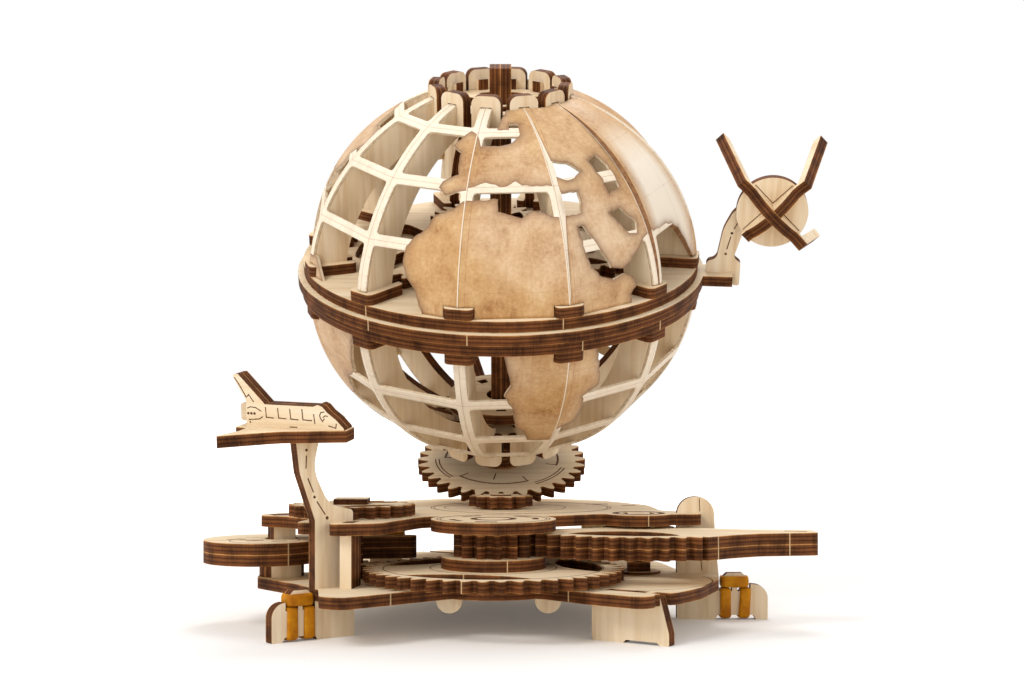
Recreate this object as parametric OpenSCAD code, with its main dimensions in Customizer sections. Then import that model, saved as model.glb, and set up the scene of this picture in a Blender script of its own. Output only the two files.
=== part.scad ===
// Mechanical plywood globe on a geared base, with a shuttle on a stand
// and a satellite on a ring that turns round the equator.
// Millimetres, +Z up. The front of the model faces -Y.

/* [Sheet] */
// Thickness of the plywood that most pieces are cut from
ply = 4; // [3.8:0.1:4.2]
// Thickness of the thin sheet that the map gores are cut from
sheet = 1; // [0.8:0.1:1.2]
// Width of the flat rubber bands
band_w = 4; // [3:0.1:4.2]
// Thickness of the flat rubber bands
band_t = 1.2; // [0.8:0.1:1.5]

/* [Globe] */
// Outer radius of the map gores at the middle of each gore
gore_r = 73; // [72:0.1:73.4]
// Tilt of the globe axis
tilt = 23.5; // [22.5:0.5:24.5]
// Distance along the axis from the equator to the top of the globe gear
gear_drop = 81.5; // [80.5:0.5:83]
// Outer radius of the upper equator plate
upper_ring_r = 75.5; // [75:0.1:76.5]
// Outer radius of the turning ring between the equator plates
orbit_r = 77.8; // [77:0.1:80]
// Outer radius of the lower equator plate
lower_ring_r = 76.5; // [75:0.1:77]
// Radial depth of a rib
rib_depth = 10; // [8:0.5:11]
// Width of the wood left beside each seam of the map
seam_band = 2.2; // [1.6:0.1:3]
// Width of the wood left along each parallel of the map
parallel_band = 4.2; // [3:0.1:5]

/* [Gears] */
// Gear module, the pitch diameter of a gear divided by its teeth
gear_m = 1.9; // [1.88:0.01:1.92]
// Play between two meshing teeth
play = 0.3; // [0.25:0.01:0.35]

/* [Base] */
// Bottom of the lower base plate above the table
lower_z = 13; // [12:0.5:15]
// Clear height between the two base plates
plate_gap = 18; // [17.8:0.1:19]
// Radius of the front lobe of the upper base plate
front_lobe_r = 21.8; // [21:0.1:23]
// Radius of the round pad of the selector lever
pad_r = 20.7; // [19:0.1:21.5]
// Height of the neck that carries the shuttle
neck_top = 66.5; // [64:0.5:70]

/* [Satellite] */
// Radius of the dish
dish_r = 13.2; // [12:0.1:14]
// Length of the long antennas
antenna_len = 36; // [30:0.5:38]

/* [Hidden] */

// Colours of the bare face, the burnt edge, the printed land and the rubber
birch = [0.87, 0.76, 0.58];
burnt = [0.33, 0.17, 0.09];
toned = [0.82, 0.62, 0.42];
amber = [0.85, 0.58, 0.05];

// Place of the globe axis, so that the model's box is centred over the origin
axis_x = -8.8;
axis_y = 16;

// Fits
slip = 0.25;       // axial gap under and over a turning piece
bore_fit = 0.1;    // radial gap between a round axle and its hole
post_fit = 0.3;    // radial gap round the corners of a square post
seat = 0.02;       // gap between glued faces of different pieces
axle_r = 4;
collar_r = 8;
post_w = 2 * ply;
post_hole_r = post_w * sqrt(2) / 2 + post_fit;

// Heights over the table
lower_top = lower_z + ply;
upper_z = lower_top + plate_gap;
upper_top = upper_z + ply;
wheel_z = lower_top + 1;
flange_z = wheel_z + ply;
pinion_z = flange_z + ply;
bevel_z = upper_top + 1;
side_wheel_z = upper_top + slip;
selector_z = wheel_z + ply + 0.5;

// Teeth of the gears
wheel_n = 46;
drive_n = 13;
lever_n = 50;
small_n = 10;
bevel_n = 11;
globe_n = 34;
side_n = 22;
sun_n = 15;
planet_n = 21;
planet_pinion_n = 9;
orbit_n = 45;

// Form of the teeth
pressure = 25;
addendum = 0.92;
dedendum = 1.18;
neck_relief = 0.28;

function pitch_r(n) = n * gear_m / 2;
function tip_r(n) = pitch_r(n) + addendum * gear_m;
function gear_gap(a, b) = pitch_r(a) + pitch_r(b);
function rad_deg(v) = v * 180 / PI;
function involute(a) = rad_deg(tan(a)) - a;

// Half of the angle that a tooth covers at radius r
function tooth_half(n, r, extra) = let(
    base_r = pitch_r(n) * cos(pressure),
    at_pitch = 90 / n + rad_deg(extra / 2 / pitch_r(n)),
    at_base = at_pitch + involute(pressure))
    r > base_r
        ? at_base - involute(acos(base_r / r))
        : at_base * (1 - neck_relief * (base_r - r) / (dedendum * gear_m));

// Outline of a gear, with its first tooth on the X axis
function gear_points(n, outer, inner, extra) = [
    for (i = [0 : n - 1]) for (side = [-1, 1]) for (k = [0 : 4]) let(
        step = side < 0 ? k : 4 - k,
        share = [0, 0.25, 0.6, 0.88, 1][step],
        r = inner + share * (outer - inner),
        round_off = step == 4 ? 0.62 : 1,
        a = 360 * i / n + side * round_off * tooth_half(n, r, extra))
        r * [cos(a), sin(a)]];

module gear_2d(n)
    polygon(gear_points(n, tip_r(n), pitch_r(n) - dedendum * gear_m, -play / 2));

// The space that an internal gear leaves, as the outline of a gear that fills it
module internal_2d(n)
    polygon(gear_points(n, pitch_r(n) + dedendum * gear_m,
        pitch_r(n) - addendum * gear_m, play / 2));

// Angle of the first tooth of the second gear, for two meshing gears that lie
// along the direction dir, where the first has its first tooth at the angle at
function mesh_angle(n1, at, n2, dir) =
    dir + 180 - (0.5 - (dir - at) * n1 / 360) * 360 / n2;

// Axle places on the base, from the globe gear forward
tip_drop = gear_drop + ply / 2;
globe_z = bevel_z + ply / 2 + tip_drop * cos(tilt) + pitch_r(globe_n) * sin(tilt);
bevel_spread = 0.6;
centre_at = [0, tip_drop * sin(tilt) - pitch_r(globe_n) * cos(tilt)
    - pitch_r(bevel_n) - bevel_spread];
front_dir = -92.4;
side_dir = 163;
lever_dir = 28;
function polar(r, a) = r * [cos(a), sin(a)];
front_at = centre_at + polar(gear_gap(wheel_n, small_n), front_dir);
side_at = front_at + polar(gear_gap(wheel_n, small_n), side_dir);
lever_at = front_at + polar(gear_gap(drive_n, lever_n), lever_dir);

// First tooth of each gear
wheel_a = 0;
centre_a = mesh_angle(wheel_n, wheel_a, small_n, front_dir + 180);
side_a = mesh_angle(wheel_n, wheel_a, small_n, side_dir);
drive_a = 0;
lever_a = mesh_angle(drive_n, drive_a, lever_n, lever_dir);
bevel_a = 90;
globe_a = mesh_angle(bevel_n, bevel_a, globe_n, 90);

// Layers at the equator, along the globe axis
plate_h0 = ply / 2 + slip;
plate_h1 = plate_h0 + ply;
sun_h = plate_h1 + slip;
planet_gap = gear_gap(sun_n, planet_n);
planet_dirs = [-138, -18, 102];

// The ribs stand at every 30 degrees of longitude, and lon_zero turns the
// prime meridian a little to the left of the front
rib_count = 12;
rib_step = 360 / rib_count;
lon_zero = -101;
skin_in = gore_r - sheet;
rib_end_r = 20.5;
top_ring_r = 22.1;
ring_h0 = 61;
ring_h1 = ring_h0 + ply;
clip_w = 10.6;
clip_r0 = 22.2;
clip_depth = 8.6;
clip_arch = 4;
gore_end_x = (clip_r0 + ply) * cos(rib_step / 2) + clip_w / 2 * sin(rib_step / 2) + 0.1;
parallels = [23, 41, 59];
gore_top = 66;
shoe_w = 10.5;
shoe_r0 = 58;
shoe_r1 = 75.8;
shoe_gap = 0.3;

// Rounds the corners of an outline whose points are [x, y, radius]
function unit(v) = v / norm(v);
function corner_arc(a, b, c, r) = r == 0 ? [b] : let(
    u = unit(a - b),
    v = unit(c - b),
    half = acos(max(-1, min(1, u * v))) / 2,
    mid = b + unit(u + v) * (r / sin(half)),
    s = b + u * (r / tan(half)) - mid,
    e = b + v * (r / tan(half)) - mid,
    a0 = atan2(s.y, s.x),
    turn = (atan2(e.y, e.x) - a0 + 540) % 360 - 180,
    n = max(2, ceil(abs(turn) / 12)))
    [for (i = [0 : n]) mid + polar(r, a0 + turn * i / n)];
function xy(p) = [p.x, p.y];
function rounded(p) = let(n = len(p)) [for (i = [0 : n - 1])
    each corner_arc(xy(p[(i + n - 1) % n]), xy(p[i]), xy(p[(i + 1) % n]), p[i].z)];

// Frames of the base and of the tilted globe
module on_base() translate([axis_x, axis_y, 0]) children();
module on_axle(at, z) on_base() translate([at.x, at.y, z]) children();
module on_globe(h = 0) on_base() translate([0, 0, globe_z]) rotate([tilt, 0, 0])
    translate([0, 0, h]) children();
module on_plane(a) rotate([0, 0, a]) rotate([90, 0, 0]) children();

// A plate of one sheet of plywood, drawn in X and Y
module cut_plate(z, t = ply) translate([0, 0, z]) linear_extrude(t) children();
// A standing plate of plywood whose drawing starts at the point at and runs along dir
module stand_plate(at, dir, t = ply) translate([at.x, at.y, 0]) rotate([0, 0, dir])
    rotate([90, 0, 0]) translate([0, 0, -t]) linear_extrude(t) children();

// Lens-shaped window between an arc round the centre and one that bends the other way
module lens_2d(r, far, other_r, a) rotate(a) intersection() {
    circle(r, $fn = 96);
    translate([far, 0]) circle(other_r, $fn = 96);
}

module square_hole_2d() square(post_w + 2 * seat, center = true);

// Slot for a standing plate, over the part of its drawing from u0 to u1
module plate_slot_2d(at, dir, u0, u1) translate([at.x, at.y]) rotate(dir)
    translate([u0 - seat, -seat]) square([u1 - u0 + 2 * seat, ply + 2 * seat]);

// Places of the legs: the start of the foot and the direction of the plate
shuttle_leg_at = [-74.8, -92];
shuttle_leg_dir = 38;
post_u0 = 16.5;
post_u1 = 27.3;
front_leg_at = [31, -82];
front_leg_dir = -33;
front_tongue_u0 = 5;
front_tongue_u1 = 20;
side_leg_at = [64.7, -32];
side_post_w = 14;
rear_leg_at = [16, 42];
rear_leg_dir = 30;
selector_at = [-79, -40];
selector_turn = 25;
lobe_r = 8.5;
spacer_len = 12;
spacer_tab_w = 9;
spacer_places = [[-48.5, -77, 80], [-44, -8, 0], [38, 18, 0], [-8, 45, 0],
    [-17, -76, 0], [16.5, -76, 0]];
// The last two are short pegs that show under the lower plate
tall_spacers = 4;
peg_head = 0.6;
peg_drop = 0.5;
// How far along each leg its own notch reaches, where it laps a plate
side_lap = 6.5;
front_lap_u = 22.5;
open_end = 40;

module spacer_slots_2d(count) for (i = [0 : count - 1]) translate(xy(spacer_places[i]))
    rotate(spacer_places[i].z) translate([-spacer_tab_w / 2 - seat, -seat])
        square([spacer_tab_w + 2 * seat, ply + 2 * seat]);

module rear_slots_2d() for (side = [0, 1]) mirror([side, 0]) {
    plate_slot_2d(rear_leg_at, rear_leg_dir, front_tongue_u0, front_tongue_u1);
    plate_slot_2d(rear_leg_at, rear_leg_dir, front_lap_u, open_end);
}

lower_outline = [[-58, -103, 4], [-50, -107, 5], [-34, -93, 12], [-16, -77, 6],
    [14, -77, 6], [30, -93, 12], [49, -107, 5], [51, -97, 0], [59, -92, 2], [68, -78, 20],
    [78, -50, 20], [78, -34, 5], [66, -20, 6], [62, 8, 25], [44, 44, 18], [24, 60, 16],
    [-24, 60, 16], [-44, 44, 18], [-62, 8, 25], [-66, -28, 6], [-79, -31, 8],
    [-87.5, -36, 6], [-87, -46, 6], [-70, -67.5, 12], [-60.4, -84.5, 4]];

module lower_base_plate() color(burnt) on_base() cut_plate(lower_z) difference() {
    union() {
        polygon(rounded(lower_outline));
        translate(front_at) circle(front_lobe_r, $fn = 96);
    }
    for (at = [front_at, centre_at, side_at]) translate(at)
        circle(axle_r + bore_fit, $fn = 48);
    translate(lever_at) circle(post_hole_r, $fn = 48);
    translate(selector_at) rotate(selector_turn) square_hole_2d();
    // Open towards the edge, so that the leg slides in from the side
    plate_slot_2d(shuttle_leg_at, shuttle_leg_dir, post_u0 - ply, post_u1);
    plate_slot_2d(front_leg_at, front_leg_dir, front_tongue_u0, front_tongue_u1);
    plate_slot_2d(front_leg_at, front_leg_dir, front_lap_u, open_end);
    plate_slot_2d(side_leg_at, 0, side_lap, open_end);
    rear_slots_2d();
    spacer_slots_2d(len(spacer_places));
}

upper_outline = [[-57, -87, 3], [-40, -82, 6], [-27, -50, 8], [-12, -50, 0],
    [10, -50, 0], [20, -46, 8], [38, -36, 10], [60, -39, 6], [73, -38, 2],
    [73, -25, 2], [60, -18, 8], [58, 14, 24], [42, 44, 18], [22, 58, 16],
    [-22, 58, 16], [-42, 44, 18], [-58, 14, 24], [-66, -28, 8], [-80, -31, 4],
    [-86, -36, 5], [-86, -45, 5], [-76, -50, 6], [-66, -62, 8], [-69, -80, 3],
    [-56.5, -77.7, 0]];

module upper_base_plate() color(burnt) on_base() cut_plate(upper_z) difference() {
    union() {
        polygon(rounded(upper_outline));
        translate(front_at) circle(front_lobe_r, $fn = 96);
        translate(lever_at) circle(front_lobe_r * 0.6, $fn = 96);
    }
    translate(front_at) circle(collar_r + bore_fit, $fn = 48);
    for (at = [centre_at, side_at]) translate(at) circle(axle_r + bore_fit, $fn = 48);
    translate(lever_at) circle(post_hole_r, $fn = 48);
    translate(selector_at) rotate(selector_turn) square_hole_2d();
    plate_slot_2d(shuttle_leg_at, shuttle_leg_dir, post_u0, post_u1);
    plate_slot_2d(side_leg_at, 0, side_lap, open_end);
    spacer_slots_2d(tall_spacers);
}

// Standing spacers: each rests on the lower plate, with a tongue through both plates
module spacer_2d() {
    translate([-spacer_len / 2, lower_top + seat])
        square([spacer_len, upper_z - lower_top - 2 * seat]);
    translate([-spacer_tab_w / 2, lower_z]) square([spacer_tab_w, upper_top - lower_z]);
}
// Short peg with a round foot under the lower plate and a head over it
module peg_2d() {
    translate([-spacer_tab_w / 2, lower_z - peg_drop])
        square([spacer_tab_w, ply + peg_drop + peg_head]);
    intersection() {
        translate([0, lower_z - peg_drop]) circle(spacer_tab_w / 2, $fn = 48);
        translate([-spacer_tab_w / 2, 0]) square([spacer_tab_w, lower_z - peg_drop + seat]);
    }
}
module plate_spacers() color(birch) on_base() for (i = [0 : len(spacer_places) - 1])
    let(p = spacer_places[i], tall = i < tall_spacers)
    stand_plate([p.x, p.y], p.z)
        if (tall) spacer_2d();
        else peg_2d();

// A band goes round the foot through a notch under it and two notches over it, and
// then round the head of the hook between them
foot_notch = band_t + 0.4;
band_floor = 10.4;
band_room = band_w + 0.8;
hook_low = band_floor + band_t + 0.2;
hook_top = 17;
hook_in = 1.8;
shuttle_band_u = [5.2, post_u0 - band_room];
side_band_u = [15.4, 22.2];
function hook_points(u) = let(a = u[0] + band_room, b = u[1],
    c = u[0] + hook_in, d = u[1] + band_room - hook_in) [
    [u[0], band_floor, 0], [a, band_floor, 0], [a, hook_low, 0], [c, hook_low, 0],
    [c, hook_low + band_w, 0], [c + 1.2, hook_top, 0.5], [d - 1.2, hook_top, 0.5],
    [d, hook_low + band_w, 0], [d, hook_low, 0], [b, hook_low, 0], [b, band_floor, 0],
    [u[1] + band_room, band_floor, 0]];
module shuttle_leg_2d() polygon(rounded(concat([[0, 0, 0.5], [0, 12.8, 5],
        [shuttle_band_u[0], 13.2, 0]], hook_points(shuttle_band_u), [[post_u0, 40, 3], [10.6, 56, 12], [9.2, neck_top, 0],
        [18, neck_top, 0], [15.8, 57, 12], [22, 45, 8], [31.5, 43, 1.5],
        [31.5, upper_top + seat, 0], [post_u1, upper_top + seat, 0],
        [post_u1, lower_z - seat, 0], [32, lower_z - seat, 0], [32, 0, 0.5],
        [17.4, 0, 0], [16.4, foot_notch, 0], [5, foot_notch, 0], [4, 0, 0]])));
module shuttle_leg() color(birch) on_base() stand_plate(shuttle_leg_at, shuttle_leg_dir)
    shuttle_leg_2d();

module front_leg_2d() polygon(rounded([[0, 0, 1], [0, lower_z - seat, 1],
    [front_tongue_u0, lower_z - seat, 0], [front_tongue_u0, lower_top - 0.5, 0],
    [front_tongue_u1, lower_top - 0.5, 0], [front_tongue_u1, lower_z - seat, 0],
    [22.5, lower_z - seat, 0], [22.5, lower_top - 0.5, 0], [25.5, lower_top - 0.5, 2],
    [29, 4, 6], [29, 0, 0.5], [25.5, 0, 0], [24.5, 1, 0.4], [13, 1, 0.4], [12, 0, 0]]));
module front_leg() color(birch) on_base() stand_plate(front_leg_at, front_leg_dir)
    front_leg_2d();
module rear_legs() color(birch) on_base() for (side = [0, 1]) mirror([side, 0, 0])
    stand_plate(rear_leg_at, rear_leg_dir) front_leg_2d();

module side_leg_2d() difference() {
    polygon(rounded(concat([[0, 0, 0.5], [0, upper_top + 6, 6.5], [side_post_w - 0.5, upper_top + 6, 6.5],
        [side_post_w, 30, 0], [side_band_u[0], 15, 0]], hook_points(side_band_u),
        [[side_band_u[1] + band_room, 13, 0], [33.3, 12.4, 5], [33.3, 0, 0.5],
        [29, 0, 0], [28, foot_notch, 0], [15, foot_notch, 0], [14, 0, 0]])));
    // Notches that the two plates pass through
    for (z = [lower_z, upper_z]) translate([-1, z - seat])
        square([side_lap + 1 - seat, ply + 2 * seat]);
}
module side_leg() color(birch) on_base() stand_plate(side_leg_at, 0) side_leg_2d();

// A closed flat band wound upright round a foot, in the notches that start at u
module foot_band(u) translate([u + (band_room - band_w) / 2, 0, 0]) rotate([90, 0, 90])
    linear_extrude(band_w) difference() {
        polygon(rounded([[-band_t - seat, foot_notch - band_t - seat, 1],
            [ply + band_t + seat, foot_notch - band_t - seat, 1],
            [ply + band_t + seat, band_floor + band_t + seat, 1],
            [-band_t - seat, band_floor + band_t + seat, 1]]));
        translate([-seat, foot_notch - seat])
            square([ply + 2 * seat, band_floor - foot_notch + 2 * seat]);
    }
// The part of the band that lies level round the head of a hook
module hook_band(u) translate([0, 0, hook_low + 0.02]) linear_extrude(band_w) difference() {
    polygon(rounded([[u[0] + hook_in - band_t - seat, -band_t - seat, 1],
        [u[1] + band_room - hook_in + band_t + seat, -band_t - seat, 1],
        [u[1] + band_room - hook_in + band_t + seat, ply + band_t + seat, 1],
        [u[0] + hook_in - band_t - seat, ply + band_t + seat, 1]]));
    translate([u[0] + hook_in - seat, -seat])
        square([u[1] - u[0] + band_room - 2 * hook_in + 2 * seat, ply + 2 * seat]);
}
module at_leg(at, dir) on_base() translate([at.x, at.y, 0]) rotate([0, 0, dir]) children();

module shuttle_leg_band() color(amber) at_leg(shuttle_leg_at, shuttle_leg_dir) {
    for (u = shuttle_band_u) foot_band(u);
    hook_band(shuttle_band_u);
}
module side_leg_band() color(amber) at_leg(side_leg_at, 0) {
    for (u = side_band_u) foot_band(u);
    hook_band(side_band_u);
}
// Band that draws the selector lever back, looped round two spacers
return_band_z = 27;
module return_band() color(amber) on_base() translate([-44, -8 + ply / 2, return_band_z])
    linear_extrude(band_w) difference() {
        polygon(rounded([for (c = [[-1, -1], [1, -1], [1, 1], [-1, 1]])
            [c.x * (spacer_len / 2 + band_t), c.y * (ply / 2 + band_t), 1]]));
        square([spacer_len + 2 * seat, ply + 2 * seat], center = true);
    }

module selector_column() color(birch) on_axle(selector_at, 0) {
    translate([0, 0, lower_z]) linear_extrude(upper_top - lower_z)
        rotate(selector_turn) square(post_w, center = true);
    translate([0, 0, lower_top + seat])
        cylinder(r = collar_r, h = selector_z - lower_top - seat - slip, $fn = 64);
}

// Shuttle: a delta wing, a body of two sheets with a fin, and a cheek with the engines on
// its far side. It leans a little on its neck
shuttle_dir = -14;
shuttle_roll = 8.5;
shuttle_pitch = 2;
shuttle_mid = shuttle_leg_at + polar(13.6, shuttle_leg_dir);
neck_rise = 0.8;
wing_z = neck_top + neck_rise + seat;
module on_shuttle() on_base() translate([shuttle_mid.x, shuttle_mid.y, wing_z])
    rotate([shuttle_roll, shuttle_pitch, shuttle_dir]) children();
wing_half = [[15.2, 0], [15.2, 3.8], [-5, 10.2], [-9, 12.8], [-22, 23.2], [-22.6, 22.4],
    [-19.2, 12], [-19.2, 6], [-23.5, 5], [-23.5, 0]];
module shuttle_wing() color(burnt) on_shuttle() linear_extrude(ply)
    polygon(concat(wing_half, [for (i = [len(wing_half) - 2 : -1 : 1])
        [wing_half[i].x, -wing_half[i].y]]));
module shuttle_body_2d() polygon(rounded([[-20, 0, 0], [-20, 9, 0.5], [-25, 17.6, 0.8],
    [-22.8, 17.8, 0.8], [-13.3, 7.8, 0.5], [3.8, 7.6, 0.5], [5.4, 8.3, 1], [7, 7.6, 1],
    [8.8, 5.6, 2], [11.6, 3.5, 1.5], [14.4, 0.6, 0.5], [14.4, 0, 0]]));
module shuttle_fuselage() color(birch) on_shuttle() translate([0, 0, ply + seat])
    for (side = [-1, 0]) translate([0, side * ply, 0]) rotate([90, 0, 0])
        translate([0, 0, -ply + seat / 2]) linear_extrude(ply - seat) shuttle_body_2d();
module engine_2d() polygon(rounded([[-23, 0.4, 0.5], [-25.4, 1, 0.5], [-25.4, 6.4, 0.5],
    [-23, 7, 0.8], [-13, 6, 2], [-10.5, 3.5, 1.5], [-13, 1, 2]]));
module shuttle_engines() color(birch) on_shuttle() translate([0, ply + seat, ply + seat])
    rotate([90, 0, 0]) translate([0, 0, -ply]) linear_extrude(ply) engine_2d();

// Square post of two sheets that the globe turns on, and the bracket that holds it
post_h0 = -gear_drop - 14;
post_h1 = 78;
bearing_h1 = -gear_drop - ply - slip;
bearing_r = 16;
module globe_post() color(burnt) on_globe(post_h0) for (side = [-1, 0])
    translate([side * ply + seat / 2, -post_w / 2, 0])
        cube([ply - seat, post_w, post_h1 - post_h0]);
module tilt_bearing() color(burnt) on_globe(bearing_h1 - ply) linear_extrude(ply)
    difference() {
        circle(bearing_r, $fn = 96);
        square([post_w + seat, post_w + 2 * seat], center = true);
    }
// The cheeks stand on the upper plate, and their top edges lie under the bearing
function on_axis(h, s) = [-h * sin(tilt) + s * cos(tilt), globe_z + h * cos(tilt)
    + s * sin(tilt)];
cheek_h = bearing_h1 - ply - seat;
cheek_half = 15;
cheek_low = on_axis(cheek_h, -cheek_half);
cheek_high = on_axis(cheek_h, cheek_half);
cheek_foot = upper_top + seat;
module tilt_cheeks() color(birch) on_base() for (side = [0, 1]) mirror([side, 0, 0])
    translate([post_w / 2 + seat, 0, 0]) rotate([90, 0, 90]) linear_extrude(ply)
        difference() {
            polygon([[cheek_low.x, cheek_foot], [cheek_high.x, cheek_foot], cheek_high,
                cheek_low]);
            translate([cheek_high.x - 9, cheek_foot + 8]) circle(3.5, $fn = 48);
        }

module sun_gear() color(birch) on_globe(sun_h) linear_extrude(ply) difference() {
    gear_2d(sun_n);
    square([post_w + seat, post_w + 2 * seat], center = true);
}

// Drive lever: a toothed sector with a handle, of two sheets on a square axle
lever_arc = [-163, -66];
lever_hub_r = 13;
lever_tip = tip_r(lever_n);
module lever_2d() difference() {
    union() {
        intersection() {
            rotate(lever_a) gear_2d(lever_n);
            polygon(concat([[0, 0]], [for (i = [0 : 12])
                polar(lever_tip + 2, lever_arc[0] + i * (lever_arc[1] - lever_arc[0]) / 12)]));
        }
        circle(lever_hub_r, $fn = 96);
        polygon(rounded([[-4, 9, 3], [9, -0.5, 6], [38, -11, 6], [61, -13.5, 2.5],
            [61, -26.5, 2.5], [40, -30, 9], [29, -37, 9],
            [polar(lever_tip, lever_arc[1]).x, polar(lever_tip, lever_arc[1]).y, 0],
            [8, -30, 0], [-8, -12, 0]]));
    }
    lens_2d(41, 41.2, 20.2, -103);
    square_hole_2d();
    translate([54, -20]) rotate(-15) translate([-4, -1.2]) square([8, 2.4]);
}
module lever_sheet(z) color(burnt) on_axle(lever_at, z) linear_extrude(ply - seat) lever_2d();
module lever_lower_ply() lever_sheet(pinion_z);
module lever_upper_ply() lever_sheet(pinion_z + ply);
module lever_axle() color(birch) on_axle(lever_at, 0) {
    translate([0, 0, lower_z]) linear_extrude(upper_top - lower_z)
        square(post_w, center = true);
    translate([0, 0, lower_top + slip])
        cylinder(r = collar_r, h = wheel_z - lower_top - slip, $fn = 64);
}

// Round axle with a collar that rests on the lower plate
module round_axle(z0, z1) {
    translate([0, 0, z0]) cylinder(r = axle_r, h = z1 - z0, $fn = 48);
    translate([0, 0, lower_top + slip])
        cylinder(r = collar_r, h = wheel_z - lower_top - slip - seat, $fn = 64);
}
module axle_hole_2d() circle(axle_r + seat, $fn = 48);

module front_axle() color(birch) on_axle(front_at, 0) {
    round_axle(lower_z, upper_top);
    translate([0, 0, pinion_z + 2 * ply]) cylinder(r = collar_r, h = upper_top - pinion_z
        - 2 * ply, $fn = 64);
}
module wheel_2d() difference() {
    rotate(wheel_a) gear_2d(wheel_n);
    for (a = [-105, 15, 135]) lens_2d(38, 62, 38, a);
    axle_hole_2d();
}
module drive_wheel() color(burnt) on_axle(front_at, wheel_z) linear_extrude(ply - seat)
    wheel_2d();
flange_r = 18.2;
module drive_flange() color(burnt) on_axle(front_at, flange_z) linear_extrude(ply - seat)
    difference() {
        circle(flange_r, $fn = 96);
        axle_hole_2d();
    }
module drive_pinion() color(burnt) for (i = [0, 1]) on_axle(front_at, pinion_z + i * ply)
    linear_extrude(ply - seat) difference() {
        rotate(drive_a) gear_2d(drive_n);
        axle_hole_2d();
    }

module small_gear(at, z, n, a) color(burnt) on_axle(at, z) linear_extrude(ply - seat)
    difference() {
        rotate(a) gear_2d(n);
        axle_hole_2d();
    }
module centre_axle() color(birch) on_axle(centre_at, 0) {
    round_axle(lower_z, bevel_z + ply + 0.5);
    translate([0, 0, upper_top + slip])
        cylinder(r = collar_r, h = bevel_z - upper_top - slip - seat, $fn = 64);
}
module centre_pinion() small_gear(centre_at, wheel_z, small_n, centre_a);
module bevel_pinion() small_gear(centre_at, bevel_z, bevel_n, bevel_a);

module side_axle() color(birch) on_axle(side_at, 0)
    round_axle(lower_z, side_wheel_z + ply + 2);
module side_pinion() small_gear(side_at, wheel_z, small_n, side_a);
module side_wheel() color(burnt) on_axle(side_at, side_wheel_z) linear_extrude(ply - seat)
    difference() {
        gear_2d(side_n);
        for (a = [-60, 60, 180]) lens_2d(17.5, 24, 15, a);
        axle_hole_2d();
    }
module side_clip() color(birch) on_axle(side_at, side_wheel_z + ply) difference() {
    translate([-6, -6, 0]) cube([12, 12, 2]);
    translate([0, 0, -1]) cylinder(r = axle_r + seat, h = 4, $fn = 48);
}

// Selector lever: a round pad and an arm that lies between the plates
pad_at = [-6.7, -3];
module selector_2d() difference() {
    union() {
        translate(pad_at) circle(pad_r, $fn = 128);
        polygon(rounded([[0, -14, 2], [14, 2, 6], [48, 8, 3], [48, 15, 3], [10, 15, 6],
            [-6, 17, 2]]));
    }
    circle(post_hole_r, $fn = 48);
    for (i = [0, 1]) translate([-19 + 5 * i, -6 - 3 * i]) square([7, 1.6]);
}
module selector_sheet(z) color(burnt) on_axle(selector_at, z) linear_extrude(ply - seat)
    selector_2d();
module selector_lower_ply() selector_sheet(selector_z);
module selector_upper_ply() selector_sheet(selector_z + ply);

// Everything below stands in the frame of the tilted globe axis
module hub_disc_2d(hole) difference() {
    circle(top_ring_r, $fn = 96);
    for (i = [0 : rib_count - 1]) rotate(lon_zero + i * rib_step)
        translate([rib_end_r + seat, -ply / 2 - seat]) square([4, ply + 2 * seat]);
    circle(hole, $fn = 48);
}
module ring_windows_2d(count, r0, r1, span) for (i = [0 : count - 1])
    rotate(i * 360 / count) polygon([for (k = [0 : 8]) polar(r1, -span / 2 + k * span / 8),
        for (k = [8 : -1 : 0]) polar(r0, -span / 2 + k * span / 8)]);

module globe_gear() color(birch) on_globe(-gear_drop - ply) linear_extrude(ply) difference() {
    rotate(globe_a) gear_2d(globe_n);
    circle(post_hole_r, $fn = 48);
}
module tube(r, h) linear_extrude(h) difference() {
    circle(r, $fn = 64);
    circle(post_hole_r, $fn = 48);
}
upper_hub_h0 = -ring_h0 + 4 + 2 * seat;
module hub_discs() color(birch) {
    on_globe(-ring_h1) linear_extrude(ply) difference() {
        hub_disc_2d(post_hole_r);
        ring_windows_2d(6, 13, 17, 24);
    }
    on_globe(upper_hub_h0) linear_extrude(ply) difference() {
        circle(top_ring_r - 1, $fn = 96);
        circle(post_hole_r, $fn = 48);
        ring_windows_2d(12, 13.5, 17, 14);
    }
    on_globe(-gear_drop + seat) tube(10, gear_drop - ring_h1 - 2 * seat);
    on_globe(-ring_h0 + seat) tube(10, 4);
}
module top_ring() color(burnt) on_globe(ring_h0) linear_extrude(ply) difference() {
    hub_disc_2d(post_hole_r);
    ring_windows_2d(4, 8.5, 16.5, 62);
}

// Outline of a rib: the outer edge follows the inside of the two gores that meet on it
rib_edge = ply / 2 * sin(rib_step / 2);
function rib_outer(t) = [(skin_in * cos(t) - rib_edge) / cos(rib_step / 2) - seat,
    skin_in * sin(t)];
function rib_inner(t) = (skin_in - rib_depth) * [cos(t), sin(t)];
rib_t0 = asin((plate_h1 + seat) / skin_in);
rib_t1 = acos(((rib_end_r + 2 * seat) * cos(rib_step / 2) + rib_edge) / skin_in);
rib_s0 = asin((plate_h1 + seat) / (skin_in - rib_depth));
rib_s1 = acos((rib_end_r + 2 * seat) / (skin_in - rib_depth));
rib_steps = 20;
module rib_2d() polygon(concat(
    [for (i = [0 : rib_steps]) rib_outer(rib_t0 + i * (rib_t1 - rib_t0) / rib_steps)],
    [for (i = [rib_steps : -1 : 0]) rib_inner(rib_s0 + i * (rib_s1 - rib_s0) / rib_steps)]));
module at_ribs() for (i = [0 : rib_count - 1]) rotate([0, 0, lon_zero + i * rib_step])
    children();
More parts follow.
